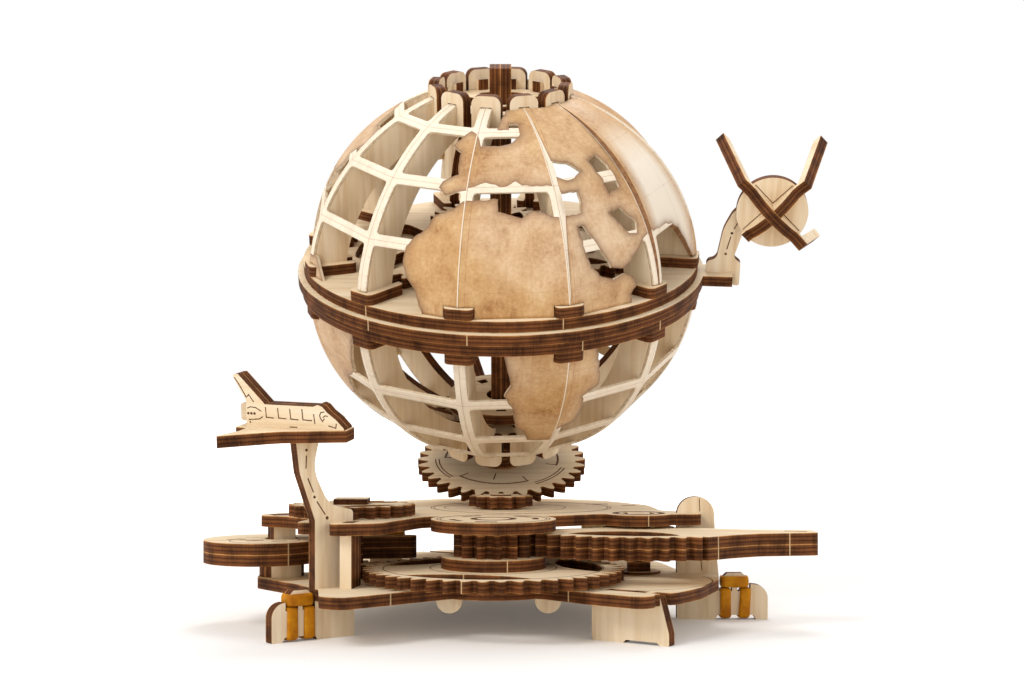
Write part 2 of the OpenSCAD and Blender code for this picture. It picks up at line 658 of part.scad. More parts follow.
module ribs() at_ribs() rotate([90, 0, 0]) translate([0, 0, -ply / 2]) linear_extrude(ply)
    rib_2d();
module upper_ribs() color(birch) on_globe() ribs();
module lower_ribs() color(birch) on_globe() mirror([0, 0, 1]) ribs();

// Clip over the end of a rib, drawn as it is seen along the radius
clip_slot = rib_outer(acos(((clip_r0 + seat) * cos(rib_step / 2) + rib_edge) / skin_in)).y
    + seat;
module clip_2d() difference() {
    polygon(rounded([[-clip_w / 2, clip_slot - clip_depth, 1.5],
        [clip_w / 2, clip_slot - clip_depth, 1.5],
        [clip_w / 2, clip_slot + clip_arch, 3], [-clip_w / 2, clip_slot + clip_arch, 3]]));
    translate([-ply / 2 - seat, clip_slot - clip_depth - 1])
        square([ply + 2 * seat, clip_depth + 1]);
}
module clips() at_ribs() translate([clip_r0 + ply, 0, 0]) rotate([90, 0, -90])
    linear_extrude(ply) clip_2d();
module upper_clips() color(burnt) on_globe() clips();
module lower_clips() color(birch) on_globe() mirror([0, 0, 1]) clips();

// Shoe that holds the foot of a rib on the equator plate
module shoe_2d() difference() {
    polygon(rounded([[shoe_r0, -shoe_w / 2, 2], [shoe_r1, -shoe_w / 2, 2.2],
        [shoe_r1, shoe_w / 2, 2.2], [shoe_r0, shoe_w / 2, 2]]));
    translate([shoe_r0 - 1, -ply / 2 - seat])
        square([rib_outer(rib_t0).x + 2 * seat - shoe_r0 + 1, ply + 2 * seat]);
}
module shoes() at_ribs() translate([0, 0, plate_h1 + seat]) linear_extrude(ply - seat)
    shoe_2d();
module upper_shoes() color(burnt) on_globe() shoes();
module lower_shoes() color(burnt) on_globe() mirror([0, 0, 1]) shoes();

// Equator plates, which carry the planet gears between them
planet_axle_r = 3;
kidney_r0 = 33;
kidney_r1 = 56;
plate_hole_r = 19;
pin_r = 3;
pin_at_r = 26.5;
module kidney_2d() polygon(rounded([for (k = [-3 : 3])
    let(c = polar(kidney_r1, 9 * k)) [c.x, c.y, abs(k) == 3 ? 4 : 0],
    for (k = [3 : -1 : -3]) let(c = polar(kidney_r0, 7 * k)) [c.x, c.y, abs(k) == 3 ? 3 : 0]]));
module equator_plate_2d(r) difference() {
    circle(r, $fn = 128);
    circle(plate_hole_r, $fn = 96);
    for (a = planet_dirs) {
        rotate(a + 60) kidney_2d();
        translate(polar(planet_gap, a)) circle(planet_axle_r + bore_fit, $fn = 48);
    }
}
module upper_equator_plate() color(birch) on_globe(plate_h0) linear_extrude(ply)
    equator_plate_2d(upper_ring_r);
module lower_equator_plate() color(birch) on_globe(-plate_h1) linear_extrude(ply)
    equator_plate_2d(lower_ring_r);
module equator_spacers() color(birch) on_globe(-plate_h0 + seat) for (a = planet_dirs)
    translate(polar(pin_at_r, a + 60)) cylinder(r = pin_r, h = 2 * (plate_h0 - seat), $fn = 48);

// A planet: a wheel above the upper plate that runs round the fixed sun, and a
// pinion on the same axle that turns the orbit ring between the plates
function planet_wheel_a(dir) = mesh_angle(sun_n, 0, planet_n, dir);
function planet_pinion_a(dir) = dir - dir * orbit_n / planet_pinion_n;
planet_top = sun_h + ply + 1.5;
module planet(dir) color(birch) on_globe() translate(polar(planet_gap, dir)) {
    translate([0, 0, sun_h]) linear_extrude(ply) difference() {
        rotate(planet_wheel_a(dir)) gear_2d(planet_n);
        for (a = [0, 120, 240]) lens_2d(16, 22, 14, a + planet_wheel_a(dir));
        circle(planet_axle_r + seat, $fn = 48);
    }
    translate([0, 0, -ply / 2]) linear_extrude(ply) difference() {
        rotate(planet_pinion_a(dir)) gear_2d(planet_pinion_n);
        circle(planet_axle_r + seat, $fn = 48);
    }
    translate([0, 0, -plate_h1]) cylinder(r = planet_axle_r, h = plate_h1 + planet_top, $fn = 48);
}
module planet_front() planet(planet_dirs[0]);
module planet_right() planet(planet_dirs[1]);
module planet_back() planet(planet_dirs[2]);

// Turning ring with inner teeth and the tab of the satellite
sat_dir = -6;
tab_r = 88.6;
tab_w = 14;
tongue_r0 = tab_r - 8.1;
tongue_r1 = tab_r - 2.6;
module orbit_ring() color(burnt) on_globe(-ply / 2) linear_extrude(ply) difference() {
    union() {
        circle(orbit_r, $fn = 128);
        rotate(sat_dir) translate([70, -tab_w / 2]) square([tab_r - 70, tab_w]);
    }
    internal_2d(orbit_n);
    rotate(sat_dir) translate([tongue_r0 - seat, -ply / 2 - seat])
        square([tongue_r1 - tongue_r0 + 2 * seat, ply + 2 * seat]);
}
module on_satellite() on_globe() rotate([0, 0, sat_dir]) rotate([90, 0, 0]) children();
bracket_z = ply / 2 + seat;
module satellite_bracket() color(birch) on_satellite() translate([tab_r, 0, -ply / 2])
    linear_extrude(ply) polygon(rounded([[-10, bracket_z, 0], [-10, 6.5, 2], [-6.3, 7.2, 3],
        [-4.3, 19, 14], [-1.1, 25.5, 6], [2, 28.3, 1.5], [2.6, 31.5, 1.5], [6.9, 33, 1.5],
        [7.4, 23, 2], [3, 17.5, 8], [0.1, 8, 2], [2.8, 6, 1.5], [2.8, -3, 1],
        [seat, -3, 1], [seat, bracket_z, 0], [tongue_r1 - tab_r, bracket_z, 0],
        [tongue_r1 - tab_r, -ply / 2, 0], [tongue_r0 - tab_r, -ply / 2, 0],
        [tongue_r0 - tab_r, bracket_z, 0]]));

// Dish: a disc before the arm and two bowed ribs that cross on it. Three of the four rib
// ends carry an antenna that runs back past the rim
dish_at = [tab_r + 13.2, 27.3];
bow_rise = 7.5;
bow_r = (dish_r * dish_r + bow_rise * bow_rise) / (2 * bow_rise);
bow_half = asin(dish_r / bow_r);
antenna_turn = -73;
antenna_w = 3.6;
rib_lip = 2.6;
function bow(r, a) = [r * sin(a), bow_rise - bow_r + r * cos(a)];
module antenna_2d(len) {
    translate([dish_r, 0]) square([slip + 3, rib_lip]);
    translate([dish_r + slip, rib_lip]) rotate(antenna_turn) square([len + rib_lip, antenna_w]);
}
module bow_2d(lengths) {
    polygon(concat([for (i = [0 : 12]) bow(bow_r, -bow_half + i * bow_half / 6)],
        [[dish_r, 0], [-dish_r, 0]]));
    translate([-dish_r - slip, 0]) square([2 * (dish_r + slip), rib_lip]);
    antenna_2d(lengths[0]);
    if (lengths[1] > 0) mirror([1, 0]) antenna_2d(lengths[1]);
}
module bow_rib(turn, lengths, slot_low, slot_high) rotate([0, 0, turn]) rotate([90, 0, 0])
    translate([0, 0, -ply / 2]) linear_extrude(ply) difference() {
        bow_2d(lengths);
        translate([-ply / 2 - seat, slot_low])
            square([ply + 2 * seat, slot_high - slot_low]);
    }

module satellite_dish() color(birch) on_satellite() translate([dish_at.x, dish_at.y,
        ply / 2 + seat]) {
    linear_extrude(ply) circle(dish_r, $fn = 96);
    translate([0, 0, ply + seat]) {
        bow_rib(135, [antenna_len, antenna_len], bow_rise / 2, bow_rise + 1);
        bow_rib(45, [antenna_len, 0], -1, bow_rise / 2 + seat);
    }
}

// Map gores: each is a strip of a cylinder between two ribs, with a window for the
// sea wherever no land is, between wooden bands along the seams and the parallels
seam_gap = 0.3;
shell_h0 = plate_h1 + seat;
gore_low = 4;
band_angle = rad_deg(parallel_band / 2 / gore_r);
window_lats = [[gore_low, parallels[0] - band_angle],
    [parallels[0] + band_angle, parallels[1] - band_angle],
    [parallels[1] + band_angle, parallels[2] - band_angle],
    [parallels[2] + band_angle, gore_top]];
window_steps = 4;
function seam_y(lat) = gore_r * cos(lat) * tan(rib_step / 2) - seam_band;
module windows_2d() for (w = window_lats) polygon(concat(
    [for (i = [0 : window_steps]) let(lat = w[0] + i * (w[1] - w[0]) / window_steps)
        [seam_y(lat), gore_r * sin(lat)]],
    [for (i = [window_steps : -1 : 0]) let(lat = w[0] + i * (w[1] - w[0]) / window_steps)
        [-seam_y(lat), gore_r * sin(lat)]]));
// Places on the map are [degrees east of the middle of the gore, degrees from the equator]
module coast_2d(places) polygon([for (p = places)
    [gore_r * cos(p[1]) * tan(p[0]), gore_r * sin(p[1])]]);
module gore_shell() rotate([90, 0, 0]) linear_extrude(60, center = true) intersection() {
    difference() {
        circle(gore_r, $fn = 180);
        circle(skin_in, $fn = 180);
    }
    translate([gore_end_x, shell_h0]) square([gore_r, gore_r]);
}
module gore_wedge() let(x0 = seam_gap / 2 / sin(rib_step / 2), x1 = gore_r + 5,
    y1 = (x1 - x0) * tan(rib_step / 2))
    linear_extrude(gore_r + 5) polygon([[x0, 0], [x1, -y1], [x1, y1]]);
module shoe_notches() for (side = [-1, 1]) rotate([0, 0, side * rib_step / 2])
    translate([shoe_r0, -shoe_w / 2 - shoe_gap, shell_h0 - 1])
        cube([gore_r - shoe_r0 + 10, shoe_w + 2 * shoe_gap, 1 + ply + shoe_gap]);
module gore(lands, seas) difference() {
    intersection() {
        gore_shell();
        gore_wedge();
    }
    shoe_notches();
    rotate([90, 0, 90]) linear_extrude(gore_r + 5) difference() {
        windows_2d();
        difference() {
            for (land = lands) coast_2d(land);
            for (sea = seas) coast_2d(sea);
        }
    }
}

// Coasts north of the equator, gore by gore from 30 degrees west to the east
north_land = [
    [[[10, 0], [10, 4], [5, 6], [0, 9], [-2, 15], [-3, 20], [0, 25], [4, 26], [4, 32], [8, 34],
        [16, 37], [16, 0]], [[6, 38.5], [5, 43], [9, 45], [10, 49], [8, 52], [9, 57], [16, 57],
        [16, 38.5]]],
    [[[-16, 0], [-16, 37], [-5, 37], [-5, 33], [2, 31], [6, 33], [14, 31], [16, 31], [16, 0]],
        [[-16, 43], [-10, 43], [-6, 44], [-2, 38], [3, 39], [6, 37], [9, 39], [16, 39],
        [16, 64], [10, 67], [2, 61], [-2, 64], [-6, 60], [-10, 55], [-16, 52]]],
    [[[-16, 0], [4, 0], [7, 6], [8, 11], [2, 13], [-2, 13], [-7, 18], [-11, 26], [-14, 30],
        [-16, 31]], [[-16, 37], [-9, 36], [-9, 30], [-4, 19], [0, 12], [8, 17], [14, 22],
        [8, 25], [4, 29], [9, 27], [16, 25], [16, 68], [-16, 68]]],
    [[[-16, 25], [-8, 25], [-3, 19], [1, 9], [4, 9], [6, 15], [12, 20], [16, 22], [16, 68],
        [-16, 68]]],
    [[[-16, 22], [-11, 17], [-8, 9], [-2, 3], [-1, 8], [-4, 13], [3, 10], [3, 18], [10, 22],
        [16, 27], [16, 68], [-16, 68]]],
    [[[-16, 27], [-13, 30], [-14, 37], [-9, 38], [-8, 35], [-6, 36], [-6, 43], [4, 46], [6, 54],
        [16, 60], [16, 68], [-16, 68]], [[-2, 33], [6, 35], [8, 42.5], [3, 42.5], [-3, 36]]],
    [[[-16, 60], [-8, 60], [-8, 53], [-4, 55], [0, 60], [16, 62], [16, 68], [-16, 68]]],
    [[[-16, 63], [-8, 63], [0, 58], [8, 58], [16, 60], [16, 68], [-16, 68]]],
    [[[-16, 60], [-4, 58], [4, 53], [10, 49], [11, 43], [16, 38], [16, 68], [-16, 68]]],
    [[[-16, 36], [-12, 33], [-6, 25], [0, 17], [8, 15], [16, 15], [12, 20], [8, 19], [7, 26],
        [12, 29], [16, 29], [16, 68], [-16, 68]]],
    [[[-16, 30], [-9, 30], [-6, 24], [-4, 26], [-7, 31], [0, 35], [2, 40], [8, 43.5], [13, 46],
        [12, 50], [5, 52], [-1, 51], [-5, 57], [-16, 61]], [[-4, 0], [-4, 8], [2, 12],
        [13, 10], [16, 8], [16, 0]]],
    [[[-16, 0], [-16, 11], [-11, 11], [-3, 0]], [[2, 58], [8, 63], [16, 66], [16, 68],
        [-8, 68], [-5, 62]]]];
north_sea = [[], [], [[[-14, 43], [-5, 42.5], [-5, 46], [-12, 47]], [[3, 43], [8, 42],
    [9, 47], [3, 48]]], [], [], [], [], [], [], [], [], []];

// Coasts south of the equator, in the same order
south_land = [
    [],
    [[[-7, 0], [-2, 6], [-1, 12], [-4, 18], [1, 29], [4, 35], [12, 34], [16, 31], [16, 0]]],
    [[[-16, 31], [-12, 26], [-10, 20], [-5, 15], [-5, 8], [-6, 0], [-16, 0]], [[3, 13], [6, 16],
        [3, 26], [-1, 25], [-1, 17]]],
    [],
    [[[9, 21], [16, 18], [16, 34], [10, 34]]],
    [[[-16, 19], [-9, 15], [-3, 12], [1, 12], [4, 17], [7, 11], [11, 18], [16, 22], [16, 37],
        [5, 38], [-2, 32], [-11, 34], [-16, 34]]],
    [[[-16, 22], [-12, 27], [-12, 33], [-14, 37], [-16, 37]], [[8, 36], [12, 38], [9, 43],
        [2, 46], [2, 42], [7, 39]]],
    [],
    [],
    [],
    [[[-5, 0], [-6, 5], [0, 14], [5, 19], [4, 28], [2, 40], [1, 50], [5, 54], [8, 51], [8, 45],
        [10, 40], [16, 37], [16, 0]]],
    [[[-16, 0], [5, 0], [10, 6], [6, 15], [4, 21], [-3, 25], [-9, 34], [-16, 37]]]];

gore_group = 3;
module north_gores(first) color(toned) on_globe() for (i = [first : first + gore_group - 1])
    rotate([0, 0, lon_zero + (i - 0.5) * rib_step]) gore(north_land[i], north_sea[i]);
module south_gores(first) color(toned) on_globe() mirror([0, 0, 1])
    for (i = [first : first + gore_group - 1])
        rotate([0, 0, lon_zero + (i - 0.5) * rib_step]) gore(south_land[i], []);
module north_gores_front() north_gores(0);
module north_gores_right() north_gores(3);
module north_gores_back() north_gores(6);
module north_gores_left() north_gores(9);
module south_gores_front() south_gores(0);
module south_gores_right() south_gores(3);
module south_gores_back() south_gores(6);
module south_gores_left() south_gores(9);

lower_base_plate();
upper_base_plate();
plate_spacers();
shuttle_leg();
front_leg();
side_leg();
rear_legs();
side_leg_band();
shuttle_leg_band();
return_band();
selector_column();
shuttle_wing();
shuttle_fuselage();
shuttle_engines();
tilt_cheeks();
tilt_bearing();
globe_post();
sun_gear();
lever_upper_ply();
lever_lower_ply();
lever_axle();
front_axle();
drive_wheel();
drive_flange();
drive_pinion();
centre_axle();
centre_pinion();
bevel_pinion();
side_axle();
side_pinion();
side_wheel();
side_clip();
selector_upper_ply();
selector_lower_ply();
globe_gear();
hub_discs();
lower_ribs();
lower_clips();
lower_shoes();
lower_equator_plate();
upper_equator_plate();
equator_spacers();
upper_shoes();
upper_ribs();
top_ring();
upper_clips();
north_gores_front();
north_gores_right();
north_gores_back();
north_gores_left();
south_gores_front();
south_gores_right();
south_gores_back();
south_gores_left();
planet_front();
planet_right();
planet_back();
orbit_ring();
satellite_bracket();
satellite_dish();
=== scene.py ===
"""Looks of the mechanical plywood globe: plywood, printed map sheets, engraving and rubber."""
import math
import bpy
import bmesh
import numpy as np
from mathutils import Matrix, Vector, geometry, noise


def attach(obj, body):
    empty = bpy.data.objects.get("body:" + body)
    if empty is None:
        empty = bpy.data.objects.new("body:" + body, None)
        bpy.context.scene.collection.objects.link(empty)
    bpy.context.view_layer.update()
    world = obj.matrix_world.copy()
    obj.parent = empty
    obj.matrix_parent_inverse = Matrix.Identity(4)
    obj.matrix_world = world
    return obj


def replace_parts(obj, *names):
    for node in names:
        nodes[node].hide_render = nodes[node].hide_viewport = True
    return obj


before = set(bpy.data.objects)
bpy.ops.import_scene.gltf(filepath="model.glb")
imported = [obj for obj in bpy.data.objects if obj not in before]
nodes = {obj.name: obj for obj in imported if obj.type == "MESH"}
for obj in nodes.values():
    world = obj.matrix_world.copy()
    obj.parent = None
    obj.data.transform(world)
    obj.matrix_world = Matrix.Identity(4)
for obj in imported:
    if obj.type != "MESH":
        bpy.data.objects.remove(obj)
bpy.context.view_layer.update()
MM = 0.001
rad = math.radians

# Values of the solids, in millimetres
AXIS = Vector((-8.8, 16.0, 131.454))
TILT = rad(23.5)
PLY = 4.0
X, Y, UP = Vector((1, 0, 0)), Vector((0, 1, 0)), Vector((0, 0, 1))
GLOBE = Matrix.Translation(AXIS) @ Matrix.Rotation(TILT, 4, "X")
BASE = Matrix.Translation((AXIS.x, AXIS.y, 0))
GLOBE_UP = (GLOBE.to_3x3() @ UP).normalized()
# Ribs and map strips stand at every 30 degrees, counted from this longitude
LON_ZERO, RIB_DEG = -101.0, 30
RIB_STEP = rad(RIB_DEG)
HALF = RIB_STEP / 2
GORE_R, SHEET = 73.0, 1.0
SHELL_H0, SHOE_TOP = 6.27, 10.25
SEAM_BAND = 2.2
PARALLELS, PARALLEL_BAND = (23, 41, 59), 4.2
GORE_LOW = 4.0
CLIP_IN, CLIP_FACE, CLIP_HALF = 22.2, 26.25, 5.3
# Heights of engraved faces: four above the table, and the gear's along the globe's axis
LOWER_TOP, WHEEL_TOP, SELECTOR_TOP, UPPER_TOP = 17.0, 22.0, 30.48, 39.0
GEAR_TOP = -81.5
FRONT_AT = (-2.228, -60.529)
LEVER_AT = (50.617, -32.431)
SAT_DIR, TAB_R = -6, 88.6
SATELLITE = GLOBE @ Matrix.Rotation(rad(SAT_DIR), 4, "Z")
DISH_R, DISH_FRONT = 13.2, 6.0
DISH_AT = (TAB_R + DISH_R, 27.3)
# Legs: the place where each starts, and the way it runs
SHUTTLE_LEG_AT, SHUTTLE_LEG_DIR = (-74.8, -92.0), 38
FRONT_LEG_AT, FRONT_LEG_DIR = (31.0, -82.0), -33
SIDE_LEG_AT, SIDE_LEG_DIR = (64.7, -32.0), 0
REAR_LEG_AT, REAR_LEG_DIR = (16.0, 42.0), 30
# The shuttle on its leg: how far along it, how high, and its turns
SHUTTLE_U, SHUTTLE_Z = 13.6, 67.32
SHUTTLE_YAW, SHUTTLE_PITCH, SHUTTLE_ROLL = -14, 2, 8.5
SHUTTLE = (BASE @ Matrix.Translation((
    SHUTTLE_LEG_AT[0] + SHUTTLE_U * math.cos(rad(SHUTTLE_LEG_DIR)),
    SHUTTLE_LEG_AT[1] + SHUTTLE_U * math.sin(rad(SHUTTLE_LEG_DIR)), SHUTTLE_Z))
    @ Matrix.Rotation(rad(SHUTTLE_YAW), 4, "Z") @ Matrix.Rotation(rad(SHUTTLE_PITCH), 4, "Y")
    @ Matrix.Rotation(rad(SHUTTLE_ROLL), 4, "X"))


def heading(angle):
    """The level direction at an angle in degrees."""
    return Vector((math.cos(rad(angle)), math.sin(rad(angle)), 0))


class Graph:
    """A short way to write a node material."""

    def __init__(self, name):
        self.mat = bpy.data.materials.new(name)
        self.mat.use_nodes = True
        self.tree = self.mat.node_tree
        self.bsdf = self.tree.nodes["Principled BSDF"]
        self.made = {}

    def put(self, socket, value):
        if isinstance(value, bpy.types.NodeSocket):
            self.tree.links.new(value, socket)
        elif isinstance(value, (tuple, list, Vector)) and len(value) == 3 and socket.type == "RGBA":
            socket.default_value = (*value, 1)
        else:
            socket.default_value = value

    def node(self, kind, **settings):
        n = self.tree.nodes.new(kind)
        for key, value in settings.items():
            setattr(n, key, value)
        return n

    def coord(self, name):
        if "coord" not in self.made:
            self.made["coord"] = self.node("ShaderNodeTexCoord")
        return self.made["coord"].outputs[name]

    def math(self, operation, a, b=0.0, clamp=False):
        n = self.node("ShaderNodeMath", operation=operation, use_clamp=clamp)
        self.put(n.inputs[0], a)
        self.put(n.inputs[1], b)
        return n.outputs[0]

    def vector(self, operation, a, b=(0, 0, 0), scale=1.0):
        n = self.node("ShaderNodeVectorMath", operation=operation)
        self.put(n.inputs[0], a)
        if operation == "SCALE":
            self.put(n.inputs[3], scale)
        else:
            self.put(n.inputs[1], b)
        return n.outputs["Value" if operation in ("DOT_PRODUCT", "LENGTH") else "Vector"]

    def xyz(self, v):
        n = self.node("ShaderNodeSeparateXYZ")
        self.put(n.inputs[0], v)
        return n.outputs

    def combine(self, x, y, z):
        n = self.node("ShaderNodeCombineXYZ")
        for socket, value in zip(n.inputs, (x, y, z)):
            self.put(socket, value)
        return n.outputs[0]

    def noise(self, v, scale, detail=3.0, rough=0.5, distort=0.0):
        n = self.node("ShaderNodeTexNoise")
        for key, value in (("Vector", v), ("Scale", scale), ("Detail", detail),
                           ("Roughness", rough), ("Distortion", distort)):
            self.put(n.inputs[key], value)
        return n.outputs["Fac"]

    def ramp(self, fac, stops):
        n = self.node("ShaderNodeValToRGB")
        elements = n.color_ramp.elements
        while len(elements) < len(stops):
            elements.new(0.5)
        for element, (place, colour) in zip(elements, stops):
            element.position = place
            element.color = (*colour, 1)
        self.put(n.inputs[0], fac)
        return n.outputs[0]

    def mix(self, fac, a, b, blend="MIX"):
        n = self.node("ShaderNodeMix", data_type="RGBA", blend_type=blend)
        self.put(n.inputs[0], fac)
        self.put(n.inputs[6], a)
        self.put(n.inputs[7], b)
        return n.outputs[2]

    def bump(self, height, strength, distance):
        n = self.node("ShaderNodeBump")
        self.put(n.inputs["Strength"], strength)
        self.put(n.inputs["Distance"], distance)
        self.put(n.inputs["Height"], height)
        self.put(self.bsdf.inputs["Normal"], n.outputs[0])

    def finish(self, colour, roughness, specular=0.3):
        self.put(self.bsdf.inputs["Base Color"], colour)
        self.put(self.bsdf.inputs["Roughness"], roughness)
        self.bsdf.inputs["Specular IOR Level"].default_value = specular
        return self.mat


def grain_coords(g, along, fine=420.0, coarse=26.0):
    """Object coordinates in which the noise is drawn out along the grain."""
    p = g.coord("Object")
    run = g.math("MULTIPLY", g.vector("DOT_PRODUCT", p, tuple(along)), fine - coarse)
    return g.vector("SUBTRACT", g.vector("SCALE", p, scale=fine),
                    g.vector("SCALE", tuple(along), scale=run))


def fine_line(g, value, places, half):
    """1 on thin lines where value is at one of places, else 0."""
    total = 0.0
    for place in places:
        hit = g.math("LESS_THAN", g.math("ABSOLUTE", g.math("SUBTRACT", value, place)), half)
        total = g.math("MAXIMUM", total, hit)
    return total


# Colours of plywood: the bare face by its grain, and the cut edge through its plies
BIRCH = [(0.30, (0.57, 0.395, 0.225)), (0.47, (0.715, 0.56, 0.37)),
         (0.60, (0.775, 0.635, 0.455)), (0.75, (0.84, 0.725, 0.57))]
PALE_BIRCH = (0.85, 0.775, 0.665)
SNAPPED = (0.66, 0.46, 0.24)
BURNT_PLIES = [(0.0, (0.34, 0.150, 0.044)), (0.05, (0.112, 0.039, 0.011)),
               (0.25, (0.100, 0.033, 0.010)), (0.32, (0.036, 0.011, 0.004)),
               (0.39, (0.094, 0.031, 0.009)), (0.52, (0.145, 0.054, 0.016)),
               (0.62, (0.090, 0.029, 0.008)), (0.68, (0.032, 0.009, 0.003)),
               (0.75, (0.100, 0.034, 0.010)), (0.93, (0.135, 0.049, 0.015)),
               (0.965, (0.44, 0.215, 0.070))]
LASER_MARKS = [(0.60, (0.50, 0.47, 0.44)), (0.80, (1.0, 1.0, 1.0)), (1.00, (1.45, 1.42, 1.38))]
# How far the laser's marks are drawn out through the sheet
LASER_DRAWN = 0.93
# From this cosine to the sheet's normal on, a point lies on a face
ON_FACE = 0.72
TAB_HALF = 0.0002
GRAIN_BUMP, GRAIN_DEEP = 0.25, 0.00012


def birch_colour(g, along):
    """Colour of the bare birch face, with its streaks and a soft mottle."""
    streak = g.noise(grain_coords(g, along), 1.0, 4.0, 0.62)
    broad = g.noise(grain_coords(g, along, 90.0, 8.0), 1.0, 2.0, 0.5)
    tone = g.math("ADD", g.math("MULTIPLY", streak, 0.55), g.math("MULTIPLY", broad, 0.45))
    return g.ramp(tone, BIRCH), streak


def edge_colour(g, depth, drawn=None):
    """Colour of a laser-cut edge: burnt plies with their glue lines. drawn are coordinates
    in which the marks of the laser run through the sheet."""
    p = g.coord("Object")
    wobble = g.math("MULTIPLY", g.math("SUBTRACT", g.noise(p, 260.0, 2.0), 0.5), 0.07)
    base = g.ramp(g.math("FRACT", g.math("ADD", depth, wobble)), BURNT_PLIES)
    fine = g.noise(drawn or p, 1900.0, 3.0, 0.75)
    shade = g.math("ADD", g.math("MULTIPLY", fine, 0.6), g.noise(p, 150.0, 2.0, 0.5))
    return g.mix(1.0, base, g.ramp(shade, LASER_MARKS), "MULTIPLY"), fine


def plywood(name, layer, along, tabs=()):
    """Plywood whose faces are bare birch and whose cut edges are burnt. layer(g) gives how
    much a point lies on a face, and how deep it lies in the sheet, from 0 to 1. tabs are the
    places along X where a bridge to the sheet was snapped off, which left a pale mark."""
    g = Graph(name)
    facing, depth, *drawn = layer(g)
    face, streak = birch_colour(g, along)
    edge, fine = edge_colour(g, depth, *drawn)
    if tabs:
        mark = fine_line(g, g.xyz(g.coord("Object"))[0], [x * MM for x in tabs], TAB_HALF)
        edge = g.mix(g.math("MULTIPLY", mark, g.math("ADD", fine, 0.2)), edge, SNAPPED)
    on_face = g.math("GREATER_THAN", facing, ON_FACE)
    g.bump(g.mix(on_face, g.combine(fine, fine, fine), g.combine(streak, streak, streak)),
           GRAIN_BUMP, GRAIN_DEEP)
    return g.finish(g.mix(on_face, edge, face), 0.66, 0.10)


def flat_layer(normal, start):
    """Sheets that lie square to normal. start is where one sheet begins along it."""
    normal = Vector(normal).normalized()

    def layer(g):
        facing = g.math("ABSOLUTE", g.vector("DOT_PRODUCT", g.coord("Normal"), tuple(normal)))
        p = g.coord("Object")
        reach = g.vector("DOT_PRODUCT", p, tuple(normal))
        drawn = g.vector("SUBTRACT", p, g.vector("SCALE", tuple(normal),
                                                 scale=g.math("MULTIPLY", reach, LASER_DRAWN)))
        along = g.math("SUBTRACT", reach, start * MM)
        return facing, g.math("DIVIDE", along, PLY * MM), drawn
    return layer


def mirror_layer(normal, start):
    """As flat_layer, for two sheets that mirror each other about the globe's middle."""
    normal = Vector(normal).normalized()

    def layer(g):
        x, y, z = g.xyz(g.coord("Object"))
        off = g.math("SUBTRACT", x, AXIS.x * MM)
        p = g.combine(g.math("ABSOLUTE", off), y, z)
        # The normal is mirrored where the point is
        x, y, z = g.xyz(g.coord("Normal"))
        n = g.combine(g.math("MULTIPLY", x, g.math("SIGN", off)), y, z)
        facing = g.math("ABSOLUTE", g.vector("DOT_PRODUCT", n, tuple(normal)))
        along = g.math("SUBTRACT", g.vector("DOT_PRODUCT", p, tuple(normal)), start * MM)
        return facing, g.math("DIVIDE", along, PLY * MM)
    return layer


def globe_coords(g):
    """Object coordinates and normal in the frame of the globe's axis."""
    turn = []
    for v, centre in ((g.coord("Object"), tuple(AXIS * MM)), (g.coord("Normal"), (0, 0, 0))):
        moved = g.vector("SUBTRACT", v, centre)
        n = g.node("ShaderNodeVectorRotate", rotation_type="X_AXIS")
        g.put(n.inputs["Vector"], moved)
        n.inputs["Center"].default_value = (0, 0, 0)
        n.inputs["Angle"].default_value = -TILT
        turn.append(n.outputs[0])
    return turn


def rib_layer(across):
    """Sheets that stand at every 30 degrees round the globe's axis: across them runs the
    tangent for ribs, and the radius for clips, which start at the radius given."""
    def layer(g):
        p, n = globe_coords(g)
        x, y, z = g.xyz(p)
        turn = g.math("SUBTRACT", g.math("ARCTAN2", y, x), rad(LON_ZERO))
        turn = g.math("MULTIPLY", g.math("ROUND", g.math("DIVIDE", turn, RIB_STEP)), RIB_STEP)
        turn = g.math("ADD", turn, rad(LON_ZERO))
        c, s = g.math("COSINE", turn), g.math("SINE", turn)
        if across is None:
            d = g.combine(g.math("MULTIPLY", s, -1.0), c, 0.0)
            start = -PLY / 2
        else:
            d = g.combine(c, s, 0.0)
            start = across
        facing = g.math("ABSOLUTE", g.vector("DOT_PRODUCT", n, d))
        along = g.math("SUBTRACT", g.vector("DOT_PRODUCT", p, d), start * MM)
        return facing, g.math("DIVIDE", along, PLY * MM)
    return layer


